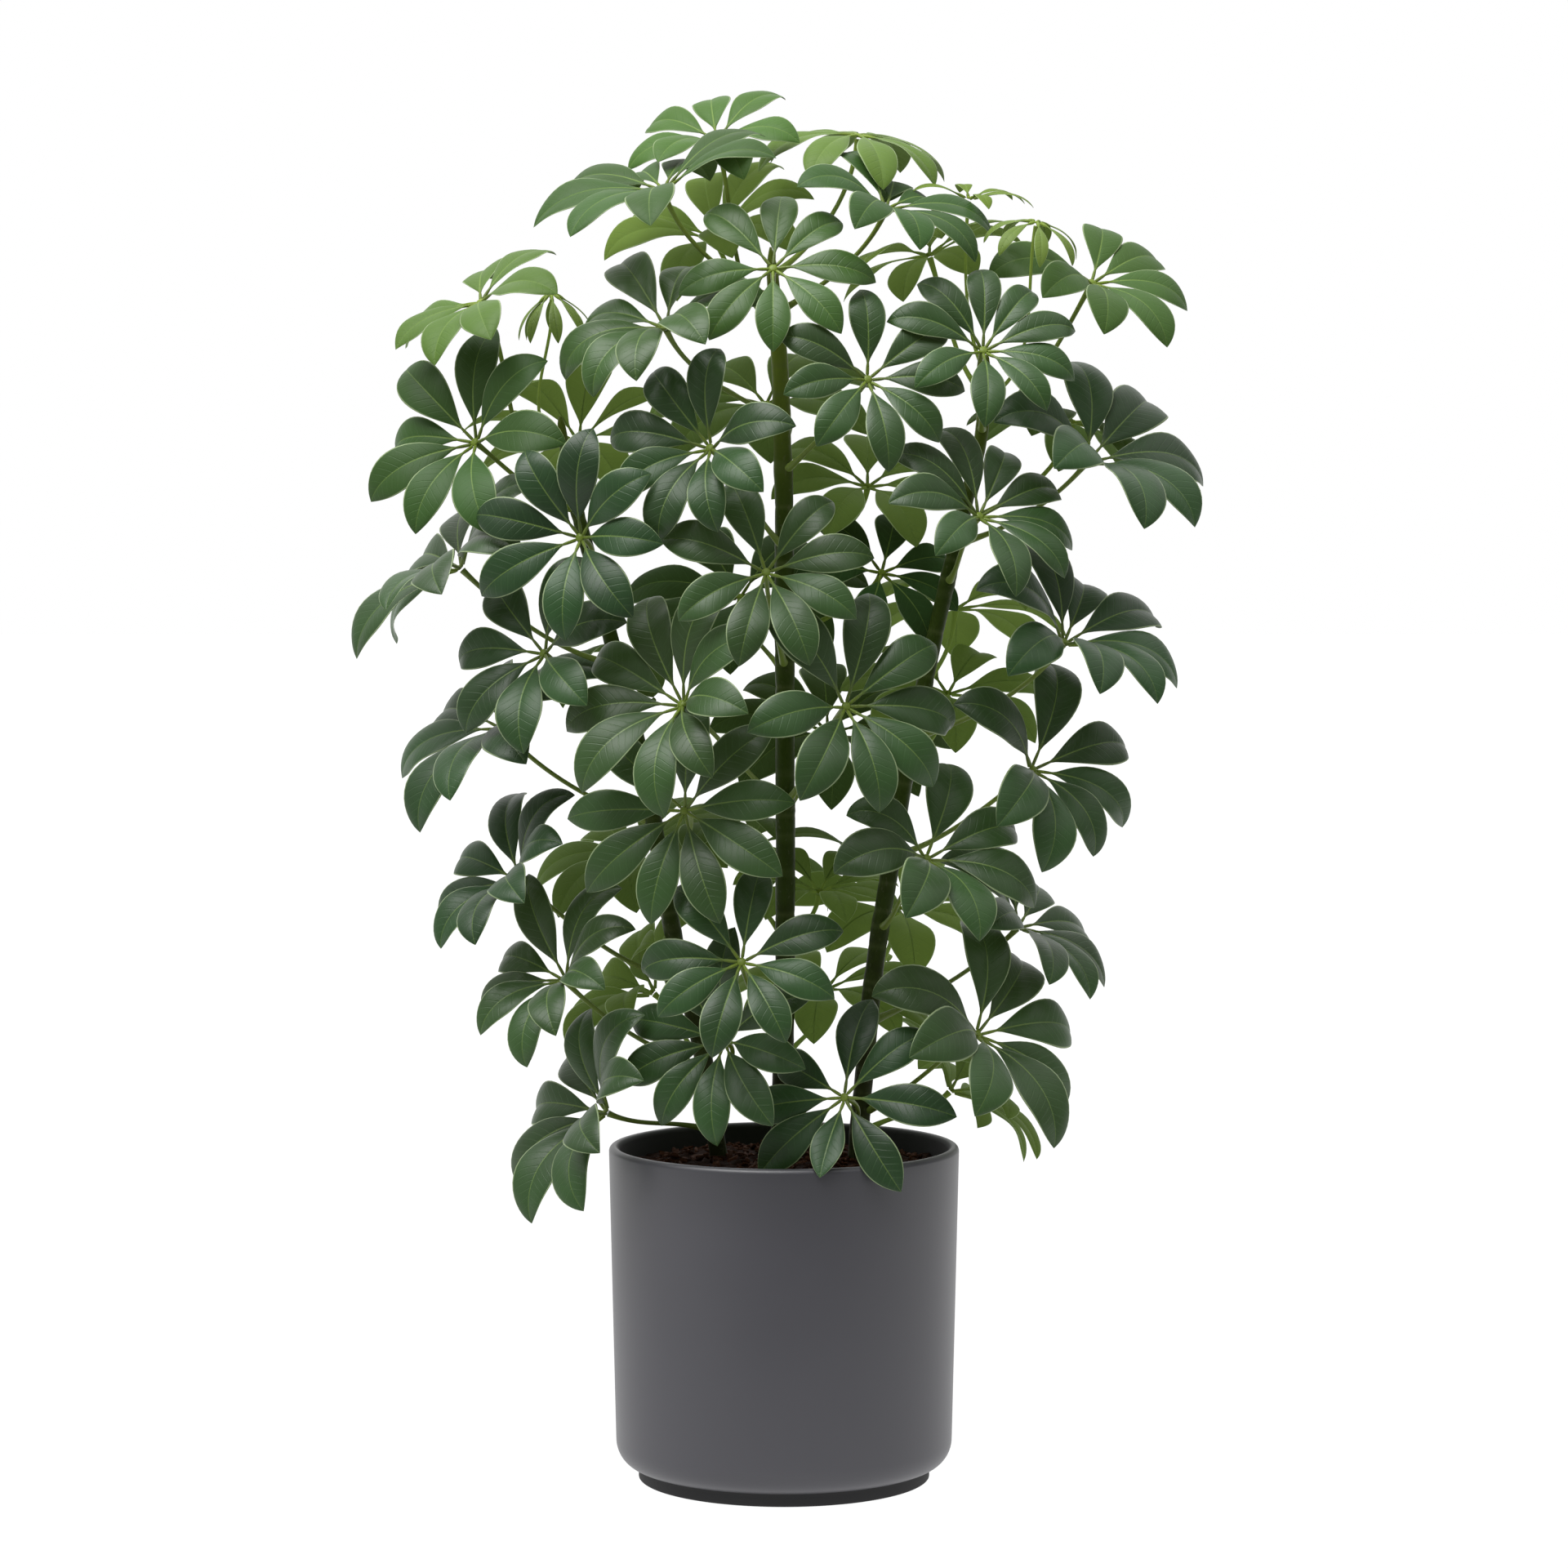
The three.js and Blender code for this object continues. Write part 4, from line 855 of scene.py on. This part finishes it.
def add_leaflets(body, leaf):
    """Leaflets as closed rings along their middle lines.

    A ring runs over the front from left to right and back underneath. Its half width is the outline, or the
    round stalklet's radius near the knob. Its height is the blade's relief and half its thickness, with the
    midrib sunk in front and ridged behind.
    """
    index, droops, turns, sizes = leaf.chosen_bends().T
    angles = leaf.angles[index.astype(int)]
    lengths = leaf.full_lengths(index) * sizes
    places, tilted, upright = leaf.paths(angles + np.radians(turns), lengths, droops)

    along = (1 - np.cos(np.pi * np.linspace(0.02, 0.995, BLADE_RINGS))) / 2
    step = np.minimum((along * PATH_STEPS).astype(int), PATH_STEPS - 1)
    part = (along * PATH_STEPS - step)[:, None]
    places, tilted, upright = (
        values[:, step] * (1 - part) + values[:, step + 1] * part for values in (places, tilted, upright))

    open_blade = step_between(0.06, 0.2, along)
    outline = blade_outline((along - STALKLET) / (1 - STALKLET)) * (lengths / leaf.slimness / 2)[:, None]
    half = np.hypot(outline, STALKLET_RADIUS * (1 - open_blade))
    thick = STALKLET_RADIUS + (BLADE_HALF_THICKNESS - STALKLET_RADIUS) * open_blade
    thick = thick * (1 - step_between(0.9, 1, along) * 0.6)

    front, back = BLADE_SHARES, BLADE_SHARES[-2:0:-1]
    across = np.concatenate([front, back])
    off = np.abs(across)
    under = np.concatenate([np.zeros(len(front)), np.ones(len(back))])
    under[[0, len(front) - 1]] = 0.5
    rib = across == 0
    height = blade_relief(leaf, index, along, across) * (open_blade * outline)[..., None]
    bulge = thick[:, None] * np.sqrt(1 - across ** 2) * np.where(under > 0.6, -1, 1)
    thinning = (1 - 0.8 * along)[:, None] * open_blade[:, None]
    ribs = np.where(under > 0.6, -RIB_RIDGE, -RIB_GROOVE) * rib * thinning
    points = (places[:, :, None]
              + tilted[:, :, None] * (half[..., None] * across)[..., None]
              + upright[:, :, None] * (height + bulge + ribs)[..., None])
    reach = half[..., None] * off
    # Painted shade and light: leaves at the back are darker. In each whorl the leaflets that point up are a
    # little darker and those that hang down a little lighter
    painted_shade = PAINTED_BACK_SHADE if leaf.number >= BACK_LEAVES else 0.0
    tones_and_painted_shade = 0.8 * wobble(index, leaf.number + 2) - 0.2 * np.cos(angles) - painted_shade
    for k, leaflet in enumerate(points):
        end = leaflet[-1].mean(0) + (leaflet[-1].mean(0) - leaflet[-2].mean(0)) * 0.2
        start = leaf.hub + (leaflet[0].mean(0) - leaf.hub) * 0.5
        body.tube(
            leaflet, start, end, along=along[:, None], run=(along * lengths[k])[:, None], reach=reach[k],
            edge=off * open_blade[:, None], stalky=1 - open_blade[:, None], under=under, tone=tones_and_painted_shade[k],
            glow=leaf_glow(leaf), fresh=FRESH_LEAVES.get(leaf.number, 0.0))


def add_stalk(body, leaf):
    """The stalk: a cubic curve from the stem's side to the back of the knob.

    It is sunk into the stem and flared at its foot, and a little swollen where it meets the knob.
    """
    middle, radius, stemwards = leaf.stem.at(leaf.height)
    outwards = unit((leaf.hub - middle) * (1, 1, 0))
    outwards = unit(outwards - (outwards @ stemwards) * stemwards)
    start = middle + outwards * (radius + FOOT_GAP)
    end = leaf.hub - leaf.axis * KNOB_BACK
    reach = np.linalg.norm(end - start) * PETIOLE_REACH
    rising = unit(outwards + 0.5 * UP)
    hold = start + rising * reach
    meet = end - leaf.axis * reach
    share = (1 - np.cos(np.pi * np.linspace(0, 1, PETIOLE_RINGS))) / 2
    away = 1 - share
    weights = np.stack([away ** 3, 3 * away ** 2 * share, 3 * away * share ** 2, share ** 3], -1)
    line = weights @ np.array([start, hold, meet, end])
    line = np.vstack([start - outwards * radius * PETIOLE_SUNK, line])
    size = YOUNG_PETIOLE if leaf.young else 1.0
    radii = PETIOLE_RADIUS + (PETIOLE_BASE_RADIUS - PETIOLE_RADIUS) * away ** PETIOLE_FLARE
    radii = size * (radii + PETIOLE_SWELLING * share ** 12)
    radii = np.concatenate([radii[:1] * 1.15, radii])
    rings = round_rings(line, radii, PETIOLE_SIDES)
    shade = 0.25 * wobble(leaf.number, 4)
    # The stalk takes its leaf's backlight share: painted light shining through it
    body.tube(rings, line[0], line[-1], stalky=1.0, tone=shade, glow=leaf_glow(leaf))
    leaf.stem.feet.append(start[2])


def add_knob(body, leaf):
    """The knob: a flattened dome about the leaf's axis."""
    turn = 2 * np.pi * np.arange(KNOB_SIDES) / KNOB_SIDES
    level = np.radians(np.linspace(-70, 70, 9))
    size = YOUNG_KNOB if leaf.young else 1.0
    spokes = np.cos(turn)[:, None] * leaf.side + np.sin(turn)[:, None] * leaf.top
    rings = (leaf.hub + leaf.axis * (np.sin(level) * KNOB_HEIGHT * size)[:, None, None]
             + spokes * (np.cos(level) * KNOB_RADIUS * size)[:, None, None])
    ends = leaf.axis * KNOB_HEIGHT * size
    body.tube(rings, leaf.hub - ends, leaf.hub + ends, stalky=1.0, tone=0.6)


def leaf_glow(leaf):
    """How far a leaf goes towards yellow olive and glows faintly. For the leaves at the back and those
    listed, this is painted light shining through them from behind. For young leaves it is their own yellow
    olive under the same painted glow.
    """
    if leaf.young:
        return 0.9
    usual = 0.6 if leaf.number >= BACK_LEAVES else 0.06
    return PAINTED_BACKLIGHT_LEAVES.get(leaf.number, usual + 0.1 * (wobble(leaf.number, 6) + 0.5))


def build_leaf(leaf, paint):
    """One leaf as one piece: its stalk, knob and leaflets."""
    body = Body("along", "run", "reach", "edge", "stalky", "under", "tone", "glow", "fresh")
    add_stalk(body, leaf)
    add_knob(body, leaf)
    add_leaflets(body, leaf)
    body.piece(f"whorl_{leaf.number:02d}", paint, "young_leaf" if leaf.young else "leaf", leaf.node)


# Stage

def sky_light():
    """The studio's light: white behind the plant, dim in front of it, soft on both sides, and a bright
    ceiling."""
    world = bpy.data.worlds.new("sky")
    world.use_nodes = True
    sky = Nodes(world.node_tree)
    direction = sky.node("ShaderNodeTexCoord", {}, {}, "Generated")
    behind = sky.rise(0.55, 0.85, sky.part(direction, "Y"))
    ceiling = sky.rise(0.3, 0.95, sky.part(direction, "Z"))
    sideways = sky.part(direction, "X")
    sides = sky.rise(0.2, 0.95, sideways * -1.0) * 0.35 + sky.rise(0.4, 0.95, sideways) * 0.2
    background = world.node_tree.nodes["Background"]
    sky.feed(background.inputs["Color"], (1.0, 1.0, 1.0, 1.0))
    sky.feed(background.inputs["Strength"], ceiling * 1.15 + behind * 0.85 + sides + 0.15)
    return world


def build_stage():
    """A glowing white floor, dimmer in front, under the sky, with a large soft light above the front left."""
    mesh = bpy.data.meshes.new("floor")
    corners = [(-FLOOR_REACH, -FLOOR_REACH, 0), (FLOOR_REACH, -FLOOR_REACH, 0),
               (FLOOR_REACH, FLOOR_REACH, 0), (-FLOOR_REACH, FLOOR_REACH, 0)]
    mesh.from_pydata(corners, [], [(0, 1, 2, 3)])
    paint = Paint("floor", **{"Base Color": (0.0, 0.0, 0.0, 1.0), "Roughness": 1.0, "Emission Strength": 1.0})
    ahead, aside = (paint.part(paint.place(), axis) for axis in "YX")
    lit = paint.rise(-1.2, -0.32, ahead + paint.rise(0.1, 0.9, aside * -1.0) * 0.4)
    paint.finish({"Emission Color": paint.blend((0.25, 0.25, 0.25), (1.0, 1.0, 1.0), lit)})
    mesh.materials.append(paint.material)
    floor = bpy.data.objects.new("floor", mesh)
    bpy.context.scene.collection.objects.link(floor)

    bpy.context.scene.world = sky_light()
    light = bpy.data.lights.new("key", "AREA")
    light.size = 2.0
    light.energy = 84.0
    lamp = bpy.data.objects.new("key", light)
    lamp.location = (-0.9, -0.9, 3.0)
    lamp.rotation_euler = (math.radians(28), 0.0, math.radians(-45))
    bpy.context.scene.collection.objects.link(lamp)
    bpy.context.scene.view_settings.view_transform = "Standard"


def build_camera():
    """The photograph's view: 3.23 m in front of the pot's axis, 3.2 degrees downwards."""
    lens = bpy.data.cameras.new("camera")
    lens.lens = CAMERA_LENS
    lens.sensor_width = 36.0
    camera = bpy.data.objects.new("camera", lens)
    bpy.context.scene.collection.objects.link(camera)
    camera.location = CAMERA_PLACE
    camera.rotation_euler = (math.radians(90 - CAMERA_DOWNWARDS), 0.0, 0.0)
    bpy.context.scene.camera = camera


STEM_OF = {name: Stem(name) for name in STEMS}
glossy_green = leaf_paint("glossy_leaf", 1.4, 0.32)
soft_green = leaf_paint("soft_leaf", 1.28, 0.4)
shaded_green = leaf_paint("shaded_leaf", 1.12, 0.5)
for row in LEAVES + YOUNG_LEAVES:
    leaf = Leaf(*row)
    if leaf.number >= BACK_LEAVES or leaf.number in SHADED_LEAVES:
        build_leaf(leaf, shaded_green)
    elif leaf.young or leaf.number in TOP_LEAVES:
        build_leaf(leaf, soft_green)
    else:
        build_leaf(leaf, glossy_green)
bark = stem_paint()
for stem in STEM_OF.values():
    stem.build(bark)
build_pot(pot_paint())
build_soil(soil_paint())
build_stage()
build_camera()
